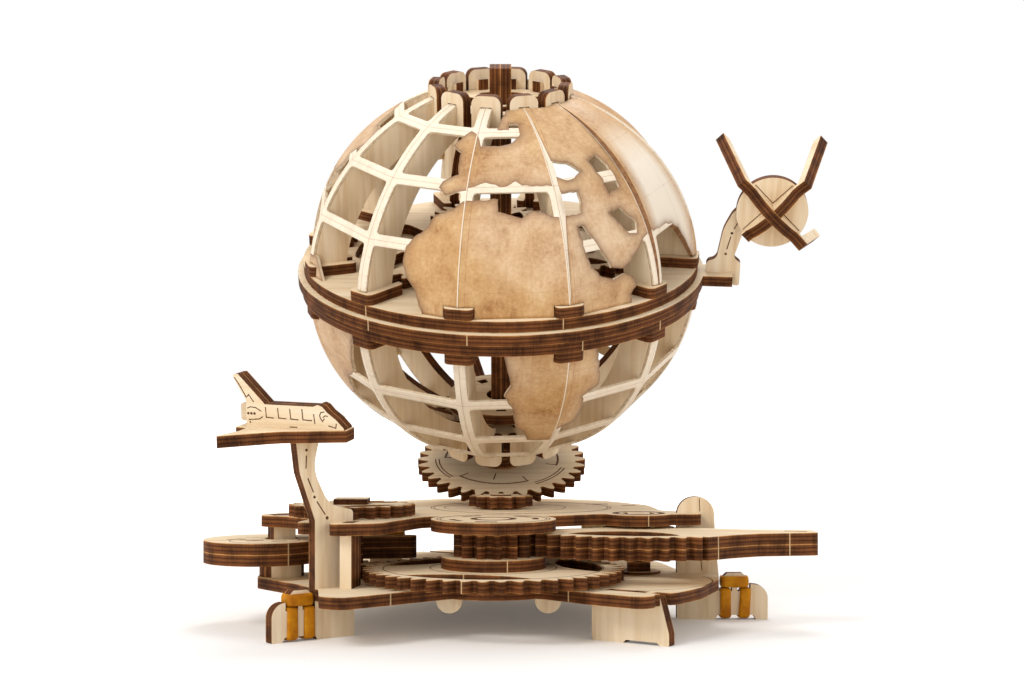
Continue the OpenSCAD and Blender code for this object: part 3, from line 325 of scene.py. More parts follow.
def dish_layer(g):
    """The dish: a disc, and two ribs that cross on it at 45 degrees."""
    spot = SATELLITE.to_3x3()
    centre = SATELLITE @ Vector((DISH_AT[0], 0, DISH_AT[1])) * MM
    out, up, ahead = spot @ X, spot @ UP, -(spot @ Y)
    a, b = (out - up).normalized(), (out + up).normalized()
    p = g.vector("SUBTRACT", g.coord("Object"), tuple(centre))
    n = g.coord("Normal")

    def dot(v, w):
        return g.vector("DOT_PRODUCT", v, tuple(w))
    da, db, depth = dot(p, a), dot(p, b), dot(p, ahead)
    reach = g.math("SQRT", g.math("ADD", g.math("POWER", da, 2.0), g.math("POWER", db, 2.0)))
    disc = g.math("MULTIPLY", g.math("LESS_THAN", reach, (DISH_R + 0.08) * MM),
                  g.math("LESS_THAN", depth, (DISH_FRONT + 0.03) * MM))
    on_a = g.math("LESS_THAN", g.math("ABSOLUTE", db), (PLY / 2 + 0.05) * MM)

    def pick(factor, no, yes):
        return g.math("ADD", g.math("MULTIPLY", factor, yes),
                      g.math("MULTIPLY", g.math("SUBTRACT", 1.0, factor), no))
    rib_face = pick(on_a, g.math("ABSOLUTE", dot(n, a)), g.math("ABSOLUTE", dot(n, b)))
    rib_deep = pick(on_a, da, db)
    facing = pick(disc, rib_face, g.math("ABSOLUTE", dot(n, ahead)))
    deep = g.math("ADD", pick(disc, rib_deep, depth), PLY / 2 * MM)
    return facing, g.math("DIVIDE", deep, PLY * MM)


def dress(names, material):
    """Give the nodes named one material."""
    for name in names.split():
        mats = nodes[name].data.materials
        mats.clear()
        mats.append(material)


def sheet_normal(angle):
    """The normal of an upright sheet that runs along the angle."""
    return heading(angle + 90)


def leg_start(at, angle):
    """Where an upright sheet of the base starts along its normal."""
    return Vector((AXIS.x + at[0], AXIS.y + at[1], 0)).dot(sheet_normal(angle))


# Places along X where the cut edges that show have a snapped bridge
TABS = {"lower_plate": (-44.3, 14.2), "upper_plate": (-70, 44.4), "lever": (65.7, 92.3),
        "wheel": (-20.8,), "flange": (-6.1,), "selector": (-82.6,), "equator": (-56, 13.1),
        "equator_low": (20.0, 48.6), "ring": (-55, -20)}
# The way the grain runs, where it isn't along X
GRAIN = {"lever": -12, "selector": 20}
# Level sheets: a label, the nodes, and the height where one sheet starts
LEVEL_SHEETS = (
    ("lower_plate", "lower_base_plate", 13.0),
    ("upper_plate", "upper_base_plate", 35.0),
    ("lever", "lever_lower_ply lever_upper_ply drive_pinion", 26.0),
    ("wheel", "drive_wheel", 18.0),
    ("flange", "drive_flange centre_pinion side_pinion", 18.0),
    ("bevel", "bevel_pinion", 40.0),
    ("side_wheel", "side_wheel side_clip", 39.25),
    ("selector", "selector_lower_ply selector_upper_ply", 22.5))
# Sheets square to the globe's axis, with the height along it from the globe's middle
TILTED_SHEETS = (
    ("equator", "upper_equator_plate", 2.25),
    ("equator_low", "lower_equator_plate", -6.25),
    ("ring", "orbit_ring", -2.0),
    ("shoe", "upper_shoes", 6.27),
    ("shoe_low", "lower_shoes", -10.25),
    ("globe_gear", "globe_gear", -85.5),
    ("hub", "hub_discs", -65.0),
    ("top_ring", "top_ring", 61.0),
    ("sun", "sun_gear planet_front planet_right planet_back", 6.5),
    ("bearing", "tilt_bearing", -89.75),
    ("pins", "equator_spacers", -2.23))
LEGS = (("shuttle_leg", SHUTTLE_LEG_AT, SHUTTLE_LEG_DIR),
        ("front_leg", FRONT_LEG_AT, FRONT_LEG_DIR),
        ("side_leg", SIDE_LEG_AT, SIDE_LEG_DIR))
# Other starts along the normal: the spacers' Y and the post's X from the globe's middle, the
# cheeks' distance from it, and the axles' height
SPACER_Y, POST_X, CHEEK_X, AXLE_Z = 18, -4, 4.02, 17.25
COLUMN_DIR = 115

globe_start = AXIS.dot(GLOBE_UP)
for label, names, z in LEVEL_SHEETS:
    dress(names, plywood("ply_" + label, flat_layer(UP, z), heading(GRAIN.get(label, 0)),
                         TABS.get(label, ())))
for label, names, h in TILTED_SHEETS:
    dress(names, plywood("ply_" + label, flat_layer(GLOBE_UP, globe_start + h), X,
                         TABS.get(label, ())))
for name, at, angle in LEGS:
    dress(name, plywood("ply_" + name, flat_layer(sheet_normal(angle), leg_start(at, angle)), UP))
dress("plate_spacers", plywood("ply_spacers", flat_layer(Y, AXIS.y + SPACER_Y), UP))
rear_normal = sheet_normal(REAR_LEG_DIR)
rear_start = Vector((REAR_LEG_AT[0], AXIS.y + REAR_LEG_AT[1], 0)).dot(rear_normal)
dress("rear_legs", plywood("ply_rear", mirror_layer(rear_normal, rear_start), UP))
dress("tilt_cheeks", plywood("ply_cheeks", mirror_layer(X, CHEEK_X), UP))
dress("globe_post", plywood("ply_post", flat_layer(X, AXIS.x + POST_X), GLOBE_UP))
dress("selector_column", plywood("ply_column", flat_layer(heading(COLUMN_DIR), 0.0), UP))
dress("lever_axle front_axle centre_axle side_axle",
      plywood("ply_axles", flat_layer(UP, AXLE_Z), X))
shuttle_x, shuttle_y, shuttle_z = (SHUTTLE.to_3x3() @ v for v in (X, Y, UP))
wing_start, fuselage_start = (SHUTTLE.translation.dot(v) for v in (shuttle_z, shuttle_y))
dress("shuttle_wing", plywood("ply_wing", flat_layer(shuttle_z, wing_start), shuttle_x))
dress("shuttle_fuselage shuttle_engines",
      plywood("ply_shuttle", flat_layer(shuttle_y, fuselage_start), shuttle_x))
dress("upper_ribs lower_ribs", plywood("ply_ribs", rib_layer(None), GLOBE_UP))
dress("upper_clips lower_clips", plywood("ply_clips", rib_layer(CLIP_IN), GLOBE_UP))
bracket_normal = SATELLITE.to_3x3() @ Y
dress("satellite_bracket", plywood("ply_bracket", flat_layer(bracket_normal,
      AXIS.dot(bracket_normal) - PLY / 2), GLOBE_UP))
dress("satellite_dish", plywood("ply_dish", dish_layer, GLOBE_UP))


RUBBER_TONES = [(0.3, (0.33, 0.105, 0.002)), (0.55, (0.50, 0.19, 0.003)),
                (0.75, (0.66, 0.30, 0.010))]


def rubber():
    g = Graph("rubber_band")
    p = g.coord("Object")
    colour = g.ramp(g.noise(p, 160.0, 3.0, 0.6), RUBBER_TONES)
    g.bump(g.noise(p, 900.0, 2.0), 0.2, 0.0001)
    g.bsdf.inputs["Subsurface Weight"].default_value = 0.05
    g.bsdf.inputs["Subsurface Radius"].default_value = (0.002, 0.001, 0.0003)
    return g.finish(colour, 0.5, 0.12)


def add_object(name, data):
    """A new object in the scene."""
    o = bpy.data.objects.new(name, data)
    bpy.context.collection.objects.link(o)
    return o


def new_piece(name, bm, place, material, body):
    """A piece from a mesh in millimetres, set in the frame by place."""
    mesh = bpy.data.meshes.new(name)
    bmesh.ops.recalc_face_normals(bm, faces=bm.faces)
    bm.to_mesh(mesh)
    bm.free()
    mesh.transform(Matrix.Scale(MM, 4) @ place)
    mesh.materials.append(material)
    o = add_object(name, mesh)
    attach(o, body)
    return o


# Rubber bands: width and thickness, room in a notch, bend and uneven width
BAND_W, BAND_T = 4.0, 1.2
BAND_ROOM = BAND_W + 0.8
BAND_CORNER, BAND_SWELL = 0.35, 0.05
# Heights of the upright bands on a foot, and of the level one, with its ends set in
BAND_LOW, BAND_FLOOR, HOOK_LOW = 1.6, 10.4, 11.82
HOOK_IN = 1.8
# Places of the upright bands along the feet, and how far the second leans
SHUTTLE_BAND_U, SIDE_BAND_U = (5.2, 11.7), (15.4, 22.2)
SHUTTLE_BAND_LEAN, SIDE_BAND_LEAN = 0.0, 0.6
# The band on a spacer between the plates
RETURN_AT, SPACER_LEN = (-44.0, -6.0, 27.0), 12.0
# The section of a band: across its width, and out from what it lies on
BAND_SECTION = [(-0.92, 0.0), (-1.0, 0.3), (-0.93, 0.75), (-0.6, 0.95), (0.0, 1.0),
                (0.6, 0.95), (0.93, 0.75), (1.0, 0.3), (0.92, 0.0)]


def band_loop(bm, rect, at):
    """A band round a rectangle. at(across, a, b) gives the place of a point of the band."""
    (a0, a1), (b0, b1) = rect
    first = len(bm.verts)
    ring = []
    for ca, cb, start in ((a1, b0, -90), (a1, b1, 0), (a0, b1, 90), (a0, b0, 180)):
        ca += BAND_CORNER if ca == a0 else -BAND_CORNER
        cb += BAND_CORNER if cb == b0 else -BAND_CORNER
        ring += [(ca, cb, rad(start + 15 * i)) for i in range(7)]
    rows = []
    for i, (a, b, turn) in enumerate(ring):
        da, db = math.cos(turn), math.sin(turn)
        wide = BAND_W / 2 * (1 + BAND_SWELL * math.sin(i * 0.9 + first))
        rows.append([bm.verts.new(at(v * wide, a + da * (BAND_CORNER + h * BAND_T),
                                     b + db * (BAND_CORNER + h * BAND_T)))
                     for v, h in BAND_SECTION])
    for one, two in zip(rows, rows[1:] + rows[:1]):
        for j in range(len(BAND_SECTION)):
            k = (j + 1) % len(BAND_SECTION)
            bm.faces.new((one[j], one[k], two[k], two[j])).smooth = True


def leg_frame(at, angle):
    """The frame of a leg: X runs along it, Y through its sheet."""
    return BASE @ Matrix.Translation((at[0], at[1], 0)) @ Matrix.Rotation(rad(angle), 4, "Z")


def leg_bands(name, node, at, angle, places, lean):
    """Two upright bands round a foot and a level one that joins them. The second upright
    band leans."""
    bm = bmesh.new()
    for i, u in enumerate(places):
        middle = u + BAND_ROOM / 2

        def upright(across, y, z, middle=middle, tilt=lean * i):
            return (middle + across + tilt * (z - BAND_LOW) / 10, y, z)
        band_loop(bm, ((0, PLY), (BAND_LOW, BAND_FLOOR)), upright)
    band_loop(bm, ((places[0] + HOOK_IN, places[1] + BAND_ROOM - HOOK_IN), (0, PLY)),
              lambda across, x, y: (x, y, HOOK_LOW + BAND_W / 2 + across))
    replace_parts(new_piece(name, bm, leg_frame(at, angle), RUBBER, "base"), node)


RUBBER = rubber()
leg_bands("shuttle_foot_bands", "shuttle_leg_band", SHUTTLE_LEG_AT, SHUTTLE_LEG_DIR,
          SHUTTLE_BAND_U, SHUTTLE_BAND_LEAN)
leg_bands("side_foot_bands", "side_leg_band", SIDE_LEG_AT, SIDE_LEG_DIR, SIDE_BAND_U,
          SIDE_BAND_LEAN)
bm = bmesh.new()
band_loop(bm, ((-SPACER_LEN / 2, SPACER_LEN / 2), (-PLY / 2, PLY / 2)),
          lambda across, x, y: (x, y, BAND_W / 2 + across))
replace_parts(new_piece("return_loop", bm, BASE @ Matrix.Translation(RETURN_AT), RUBBER, "base"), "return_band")


# Engraving: thin burnt lines that stand a little proud of the faces, their lower side sunk
LINE_LOW, LINE_HIGH, LINE_W = -0.05, 0.03, 0.35
BURNT_LINE = [(0.35, (0.045, 0.018, 0.008)), (0.65, (0.17, 0.080, 0.034))]


def burnt_line():
    g = Graph("burnt_line")
    return g.finish(g.ramp(g.noise(g.coord("Object"), 900.0, 2.0), BURNT_LINE), 0.7, 0.1)


BURNT = burnt_line()


def stroke(bm, points, width, closed=False):
    """A thin flat bar that follows the points on a face, with closed ends or as a ring."""
    pts = [Vector((x, y, 0)) for x, y in points]
    steps = [(b - a).normalized() for a, b in zip(pts, pts[1:] + pts[:1])]
    rows = []
    for i, p in enumerate(pts):
        back = steps[i - 1] if closed or i else steps[0]
        ahead = steps[i] if closed or i < len(pts) - 1 else back
        run = (back + ahead).normalized()
        side = Vector((-run.y, run.x, 0)) * width / 2 / max(0.5, run.dot(back))
        rows.append([bm.verts.new(p + side * k + Vector((0, 0, z)))
                     for k, z in ((1, LINE_LOW), (-1, LINE_LOW), (-1, LINE_HIGH), (1, LINE_HIGH))])
    for one, two in zip(rows, rows[1:] + (rows[:1] if closed else [])):
        for j in range(4):
            bm.faces.new((one[j], one[(j + 1) % 4], two[(j + 1) % 4], two[j]))
    if not closed:
        bm.faces.new(rows[0])
        bm.faces.new(rows[-1])


def arc(centre, r, a0, a1, step=6):
    """Points on an arc from the angle a0 to a1."""
    count = max(2, math.ceil(abs(a1 - a0) / step))
    return [(centre[0] + r * math.cos(rad(a0 + (a1 - a0) * i / count)),
             centre[1] + r * math.sin(rad(a0 + (a1 - a0) * i / count))) for i in range(count + 1)]


def engrave(name, body, place, lines=(), dots=(), rings=(), width=LINE_W):
    """lines are lists of points, dots are (x, y, radius), and rings are (centre, radius)."""
    bm = bmesh.new()
    for points in lines:
        stroke(bm, points, width)
    for x, y, r in dots:
        stroke(bm, arc((x, y), r / 2, 0, 324, 36), r, True)
    for centre, r in rings:
        stroke(bm, arc(centre, r, 0, 356, 4), width, True)
    new_piece(name, bm, place, BURNT, body)


def face_frame(origin, right, up):
    """A frame whose X and Y lie on a face, and whose Z points out of it."""
    out = right.cross(up)
    return Matrix.Translation(origin) @ Matrix((right, up, out)).transposed().to_4x4()


def level_face(z):
    """A level face of the base, with its middle under the globe's."""
    return BASE @ Matrix.Translation((0, 0, z))


def leg_face(at, angle):
    """The outer face of a leg, from where the leg starts."""
    return face_frame(leg_frame(at, angle).translation, heading(angle), UP)


def satellite_face(x, y, z):
    """A face square to the satellite's arm, from a place in its frame."""
    turn = SATELLITE.to_3x3()
    return face_frame(SATELLITE @ Vector((x, y, z)), turn @ X, turn @ UP)


# Lines on the side of the shuttle, windows, doors and panels, and the place they start from
SHUTTLE_FACE = Vector((0, -3.99, 4.02))
SHUTTLE_LINES = [
    [(-24.0, 16.6), (-21.9, 13.5), (-19.8, 9.8)], [(-19.7, 10.2), (-19.0, 10.9), (-17.3, 8.5)],
    [(-19.6, 6.3), (-18.6, 6.8), (-16.6, 6.6), (-14.6, 5.4)],
    [(-19.2, 2.5), (-17.9, 2.6), (-15.4, 2.8), (-14.1, 3.7)], [(-18.8, 2.1), (-18.5, 1.3)],
    [(-13.1, 6.9), (-12.9, 3.5), (-10.2, 3.3)], [(-8.8, 6.8), (-8.5, 3.4), (-5.8, 3.2)],
    [(-4.5, 6.6), (-4.2, 3.2), (-1.4, 3.0)], [(-0.2, 6.6), (0.1, 3.1), (3.3, 2.9)],
    [(3.9, 5.1), (4.3, 1.9)],
    [(7.7, 6.0), (6.5, 5.8), (6.0, 4.8), (6.3, 3.8), (7.0, 2.8), (7.7, 3.8)],
    [(7.1, 4.1), (7.9, 4.7), (8.9, 4.6)], [(9.0, 1.4), (11.6, 0.7), (11.8, 2.2)],
    [(-4.7, 0.5), (-2.0, 0.5)]]
SHUTTLE_DOTS = [(-19.3, 4.6, 0.45), (-18.2, 4.6, 0.45), (-17.1, 4.6, 0.45)]
# Lines along the legs and the satellite's arm, from the start of the leg or arm
SHUTTLE_LEG_LINES = [[(13.2, 61.8), (13.0, 57.4)], [(13.7, 54.2), (15.9, 49.4)],
                     [(17.2, 46.3), (20.5, 41.7)], [(27.1, 34.4), (27.1, 17.6)]]
SHUTTLE_LEG_DOTS = [(13.2, 63.6, 0.5), (16.3, 47.8, 0.5), (21.2, 40.6, 0.6),
                    (27.1, 28.0, 0.45), (27.1, 25.5, 0.45)]
SIDE_LEG_LINES = [[(8.2, 44.3), (8.4, 39.6)], [(8.6, 24), (9.2, 18)]]
ARM_LINES = [[(2.0, 23.7), (-0.3, 19.2)], [(-1.3, 16.3), (-2.6, 11.2)]]
ARM_DOTS = [(2.7, 25.1, 0.5), (-1.0, 17.6, 0.5), (-2.9, 9.4, 0.5)]
# Lines along the crossing ribs of the dish
DISH_LINES = [[(-6.8, 10.4), (0.0, 3.6), (6.8, 10.4)], [(3.6, 0.0), (10.4, -6.8)],
              [(-3.6, 0.0), (-10.4, -6.8)]]
# Rings and slots of the plates, from the globe's middle
UPPER_RINGS = [((7.7, 0.0), 33.6), ((7.7, 0.0), 34.7), ((1.5, 0.0), 23.4), (FRONT_AT, 19.7),
               (FRONT_AT, 18.6)]
# The wide ring round the front axle is painted shade: a dark ring standing for the hole round the axle
PAD_RINGS_AND_HOLE_SHADE = [(FRONT_AT, 7.0), (LEVER_AT, 8.6)]
PAD_SLOT_R, PAD_SLOT_TURN, PAD_SLOTS = 14.8, 30, (-12, 30, 108, 192, 246)
PLATE_SLOT = [(47.5, 12.0), (53.0, 12.0)]
PAD_SLOT_W, SELECTOR_SLOT_W = 2.2, 1.5
WHEEL_RINGS = [(FRONT_AT, 22.1), (FRONT_AT, 38.4)]
SELECTOR_RINGS = [((-83.8, -49.0), 12.4)]
SELECTOR_SLOTS = [[(-90.0, -52.0), (-84.0, -50.0)], [(-80.5, -53.5), (-75.5, -51.5)]]
LOWER_ARC = arc((41.8, -54.0), 33.0, -85, 20)
# Three groups of marks on the globe's gear: a dotted arc, spokes, and two arcs between groups
GEAR_GROUPS, GEAR_HALF = (-99, 21, 141), 36
GEAR_DOTS_R, GEAR_DOT_STEP, GEAR_DOT = 22.9, 2.5, 0.5
GEAR_ARCS_R, GEAR_ARC_FROM, GEAR_ARC_TO = (25.4, 26.8), 40, 80
GEAR_SPOKES = ((-GEAR_HALF, 18.5, GEAR_DOTS_R), (GEAR_HALF, 18.5, GEAR_DOTS_R), (0, 14.0, 19.5))

engrave("shuttle_lines", "base", face_frame(SHUTTLE @ SHUTTLE_FACE, shuttle_x, shuttle_z),
        SHUTTLE_LINES, SHUTTLE_DOTS)
engrave("shuttle_leg_lines", "base", leg_face(SHUTTLE_LEG_AT, SHUTTLE_LEG_DIR),
        SHUTTLE_LEG_LINES, SHUTTLE_LEG_DOTS, width=0.45)
engrave("side_leg_line", "base", leg_face(SIDE_LEG_AT, SIDE_LEG_DIR), SIDE_LEG_LINES, width=0.3)
engrave("satellite_arm_lines", "turning_ring", satellite_face(TAB_R, -PLY / 2, 0), ARM_LINES,
        ARM_DOTS, width=0.4)
engrave("dish_lines", "turning_ring", satellite_face(DISH_AT[0], -DISH_FRONT, DISH_AT[1]),
        DISH_LINES)
engrave("upper_plate_rings", "base", level_face(UPPER_TOP), rings=UPPER_RINGS)
pad_slots = [arc(FRONT_AT, PAD_SLOT_R, a, a + PAD_SLOT_TURN) for a in PAD_SLOTS]
# These rings include the painted shade of the hole round the front axle
engrave("front_pad_slots_and_hole_shade", "base", level_face(UPPER_TOP), pad_slots + [PLATE_SLOT],
        rings=PAD_RINGS_AND_HOLE_SHADE, width=PAD_SLOT_W)
engrave("drive_wheel_rings", "front_train", level_face(WHEEL_TOP), rings=WHEEL_RINGS)
engrave("selector_ring", "selector_lever", level_face(SELECTOR_TOP), rings=SELECTOR_RINGS)
engrave("selector_slots", "selector_lever", level_face(SELECTOR_TOP), SELECTOR_SLOTS,
        width=SELECTOR_SLOT_W)
marks, points = [], []
for a in GEAR_GROUPS:
    points += arc((0, 0), GEAR_DOTS_R, a - GEAR_HALF, a + GEAR_HALF, GEAR_DOT_STEP)
    for turn, r0, r1 in GEAR_SPOKES:
        marks.append([tuple(heading(a + turn).xy * r) for r in (r0, r1)])
    marks += [arc((0, 0), r, a + GEAR_ARC_FROM, a + GEAR_ARC_TO) for r in GEAR_ARCS_R]
engrave("globe_gear_lines", "globe", GLOBE @ Matrix.Translation((0, 0, GEAR_TOP)), marks,
        [(*p, GEAR_DOT) for p in points], width=0.5)
engrave("lower_plate_arc", "base", level_face(LOWER_TOP), [LOWER_ARC])


# Colours of the map: warm and pink land by the mottle of the print, land paled by the painted highlight on the
# proud strip, fine lines, the burnt coast, a painted highlight along one edge of each seam, and the cut rims,
# the proud strip's darkened with painted shade
WARM_LAND = [(0.36, (0.31, 0.140, 0.044)), (0.46, (0.46, 0.252, 0.097)),
             (0.56, (0.545, 0.33, 0.145)), (0.68, (0.65, 0.445, 0.245))]
PINK_LAND = [(0.36, (0.39, 0.220, 0.110)), (0.46, (0.54, 0.345, 0.190)),
             (0.56, (0.63, 0.435, 0.265)), (0.68, (0.72, 0.54, 0.37))]
HIGHLIGHT_LAND = (0.85, 0.77, 0.65)
LINE_COLOUR, COAST_COLOUR = (0.36, 0.15, 0.07), (0.22, 0.118, 0.062)
SEAM_HIGHLIGHT = (0.86, 0.75, 0.60)
RIM_COLOURS = ((0.60, 0.46, 0.30), (0.74, 0.62, 0.45))
# Rims of the proud strip: darker than the rest, the burnt cut edge with painted shade of the gap beside it
SHADED_RIM_COLOURS = ((0.19, 0.085, 0.035), (0.30, 0.15, 0.065))
BLACK, WHITE = (0, 0, 0), (1, 1, 1)
# Lines of the net, in degrees, with half their widths as angles
NET_LATS, NET_LAT_HALF = (12, 32, 50), 0.0017
NET_LON, NET_LON_HALF = 5, 0.0016
PARALLEL_HALF = 0.0016
# Half the width of the line beside a seam, and the width of the painted highlight along a seam, in metres
SEAM_LINE_HALF, SEAM_HIGHLIGHT_WIDTH = 0.00013, 0.00045
# How far from its seams the painted highlight on the proud strip reaches, in metres, and how strong it is
HIGHLIGHT_REACH, PROUD_HIGHLIGHT = 0.008, 0.85


def grey(value):
    return (value, value, value)


def strip_coords(g):
    """Across a strip of the map, away from the axis, from the seam, and along the arc."""
    x, y, z = g.xyz(globe_coords(g)[0])
    angle = g.math("SUBTRACT", g.math("ARCTAN2", y, x), rad(LON_ZERO))
    middle = g.math("ADD", g.math("FLOOR", g.math("DIVIDE", angle, RIB_STEP)), 0.5)
    angle = g.math("SUBTRACT", angle, g.math("MULTIPLY", middle, RIB_STEP))
    reach = g.math("SQRT", g.math("ADD", g.math("MULTIPLY", x, x), g.math("MULTIPLY", y, y)))
    across = g.math("MULTIPLY", reach, g.math("SINE", angle))
    out = g.math("MULTIPLY", reach, g.math("COSINE", angle))
    seam = g.math("SUBTRACT", g.math("MULTIPLY", out, math.tan(HALF)), g.math("ABSOLUTE", across))
    lat = g.math("ARCTAN2", g.math("ABSOLUTE", z), out)
    return across, out, seam, lat


def printed_map(name, highlight=0.0):
    """The print: mottled land, fine lines, a burnt coast, and a painted highlight along one edge at a seam.
    highlight is how much a painted highlight pales the land away from the seams."""
    g = Graph(name)
    p = g.coord("Object")
    mottle = g.noise(p, 70.0, 5.0, 0.6, 0.6)
    speck = g.noise(p, 800.0, 3.0, 0.7)
    streak = g.noise(grain_coords(g, GLOBE_UP, 420.0, 20.0), 1.0, 3.0, 0.6)
    tone = g.math("ADD", g.math("MULTIPLY", mottle, 0.55), g.math("ADD",
                  g.math("MULTIPLY", speck, 0.30), g.math("MULTIPLY", streak, 0.15)))
    patch = g.ramp(g.noise(p, 24.0, 2.0, 0.5), [(0.42, BLACK), (0.60, WHITE)])
    land = g.mix(patch, g.ramp(tone, WARM_LAND), g.ramp(tone, PINK_LAND))
    across, out, seam, lat = strip_coords(g)
    # Painted highlight on the proud strip: the land pales away from its seams, and less towards the pole
    if highlight:
        middle = g.ramp(g.math("DIVIDE", seam, HIGHLIGHT_REACH), [(0.1, BLACK), (1.0, WHITE)])
        lower = g.ramp(lat, [(0.72, WHITE), (0.98, grey(0.15))])
        land = g.mix(g.math("MULTIPLY", g.math("MULTIPLY", middle, highlight), lower), land, HIGHLIGHT_LAND)
    worn = g.ramp(g.noise(p, 260.0, 3.0, 0.7), [(0.35, grey(0.15)), (0.6, grey(0.75))])
    net = g.math("MAXIMUM", fine_line(g, lat, [rad(v) for v in NET_LATS], NET_LAT_HALF),
                 fine_line(g, g.math("DIVIDE", across, out), [math.tan(rad(NET_LON))],
                           NET_LON_HALF))
    beside = g.math("MULTIPLY", g.math("LESS_THAN", across, 0.0),
                    fine_line(g, seam, [SEAM_BAND * MM], SEAM_LINE_HALF))
    drawn = g.math("MAXIMUM", g.math("MULTIPLY", net, 0.45), beside)
    land = g.mix(g.math("MULTIPLY", drawn, worn), land, LINE_COLOUR)
    near = g.node("ShaderNodeAttribute", attribute_name="coast")
    burnt = g.math("ADD", g.math("MULTIPLY", mottle, 0.8), 0.45)
    shore = g.math("MULTIPLY", near.outputs["Fac"], burnt, True)
    colour = g.mix(shore, land, COAST_COLOUR)
    # Painted highlight: a pale line along the strip's edge on one side of every seam, standing for its lit cut
    # edge
    edge = g.math("MULTIPLY", g.math("GREATER_THAN", across, 0.0),
                  g.math("LESS_THAN", seam, SEAM_HIGHLIGHT_WIDTH))
    colour = g.mix(g.math("MULTIPLY", edge, 0.85), colour, SEAM_HIGHLIGHT)
    g.bump(streak, 0.15, 0.0001)
    return g.finish(colour, 0.55, 0.3)


def lattice_wood():
    """Bare birch of the lattice, with the fine red line along the parallels."""
    g = Graph("gore_wood")
    face, streak = birch_colour(g, GLOBE_UP)
    lat = strip_coords(g)[3]
    line = fine_line(g, lat, [rad(v) for v in PARALLELS], PARALLEL_HALF)
    g.bump(streak, GRAIN_BUMP, GRAIN_DEEP)
    return g.finish(g.mix(g.math("MULTIPLY", line, 0.45), g.mix(0.5, face, PALE_BIRCH),
                          LINE_COLOUR), 0.62, 0.25)


def cut_rim(name, dark, pale):
    """The cut edge of a map sheet."""
    g = Graph(name)
    tone = g.noise(g.coord("Object"), 600.0, 2.0)
    return g.finish(g.ramp(tone, [(0.35, dark), (0.65, pale)]), 0.6)


PRINT = printed_map("map_print")
# Print of the proud strip, with its painted highlight
HIGHLIT_PRINT = printed_map("map_print_faded", PROUD_HIGHLIGHT)
GORE_WOOD = lattice_wood()
GORE_BACK = plywood("gore_back", lambda g: (1.0, 0.5), X)
RIM = cut_rim("gore_rim", *RIM_COLOURS)
# Rims of the proud strip, darkened with painted shade
SHADED_RIM = cut_rim("gore_rim_shaded", *SHADED_RIM_COLOURS)

# Coasts of each map strip, as longitudes from its middle and latitudes. They run past the
# seams and the pole to these values.
PAST_SEAM, PAST_POLE = 16, 72
NORTH = [
    [[(16, 0), (4, 0), (4.5, 4.5), (3, 8), (1.5, 11.5), (-1.5, 14.5), (-3, 18.5), (-2.7, 22.5),
      (-0.5, 25.5), (3.5, 28.5), (5, 32), (11, 34.5), (14, 37), (16, 37)],
     [(16, 58), (11, 59.5), (8, 57.5), (4.5, 53.5), (9, 51.5), (9.5, 47), (10.5, 44.5), (5, 42),
      (4, 40), (7, 38), (12, 39.5), (16, 40.5)]],
    [[(-16, 0), (-16, 37), (-4.5, 37.5), (-4.5, 34), (0.5, 32.7), (3, 32), (5, 33.2), (7, 34),
      (10.5, 33.5), (12.5, 32.3), (16, 32), (16, 0)],
     [(-16, 40.5), (-9, 42.4), (-4, 41), (-1, 41.3), (1.7, 42.7), (4, 41.3), (11, 41), (16, 41.5),
      (16, 72), (10, 72), (0, 68), (-3, 64.5), (-5.6, 60), (1, 59.8), (1.5, 62.3), (6.8, 62.2),
      (6.3, 58), (1, 54.8), (-4.7, 54), (-12.6, 54), (-14.6, 57.6), (-16, 58)]],
    [[(-16, 0), (5.4, 0), (5.4, 7.4), (7.7, 9.5), (6.3, 12.4), (3.8, 13.6), (-0.2, 12.5),
      (-3.8, 13.9), (-7.1, 17.3), (-8.5, 22), (-9.5, 28.7), (-7.6, 28.7), (-4.8, 24.2),
      (-2.2, 19.6), (-0.5, 15.8), (3.4, 15), (7, 16.5), (11.3, 20.2), (12.9, 22), (16, 23.5),
      (16, 72), (-16, 72)]],
    [[(-16, 23.5), (-12.5, 23), (-9.6, 22.6), (-4.7, 22.7), (-0.7, 21.8), (4.1, 19.4), (6.4, 16),
      (9.6, 11.3), (13.7, 6.5), (16, 6.5), (16, 72), (-16, 72)]],
    [[(-16, 6.5), (-13, 12), (-11, 17), (-8, 21), (-3, 20), (-1, 14), (-2, 8), (1, 4), (2, 10),
      (3, 18), (10, 22), (16, 27), (16, 72), (-16, 72)]],
    [[(-16, 27), (-13, 30), (-14, 37), (-9, 38), (-8, 35), (-6, 36), (-6, 43), (4, 46), (6, 54),
      (16, 60), (16, 72), (-16, 72)], [(-2, 33), (6, 35), (8, 42.5), (3, 42.5), (-3, 36)]],
    [[(-16, 60), (-8, 60), (-8, 53), (-4, 55), (0, 60), (16, 62), (16, 72), (-16, 72)]],
    [[(-16, 63), (-8, 63), (0, 58), (8, 58), (16, 60), (16, 72), (-16, 72)]],
    [[(-16, 60), (-4, 58), (4, 53), (10, 49), (11, 43), (16, 38), (16, 72), (-16, 72)]],
    [[(-16, 36), (-12, 33), (-6, 25), (0, 17), (8, 15), (16, 15), (12, 20), (8, 19), (7, 26),
      (12, 29), (16, 29), (16, 72), (-16, 72)]],
    [[(-16, 30), (-9, 30), (-6, 24), (-4, 26), (-7, 31), (0, 35), (2, 40), (8, 43.5), (13, 46),
      (12, 50), (5, 52), (-1, 51), (-5, 57), (-16, 61)],
     [(-4, 0), (-4, 8), (2, 12), (13, 10), (16, 8), (16, 0)]],
    [[(-16, 0), (-16, 11), (-11, 11), (-3, 0)]]]
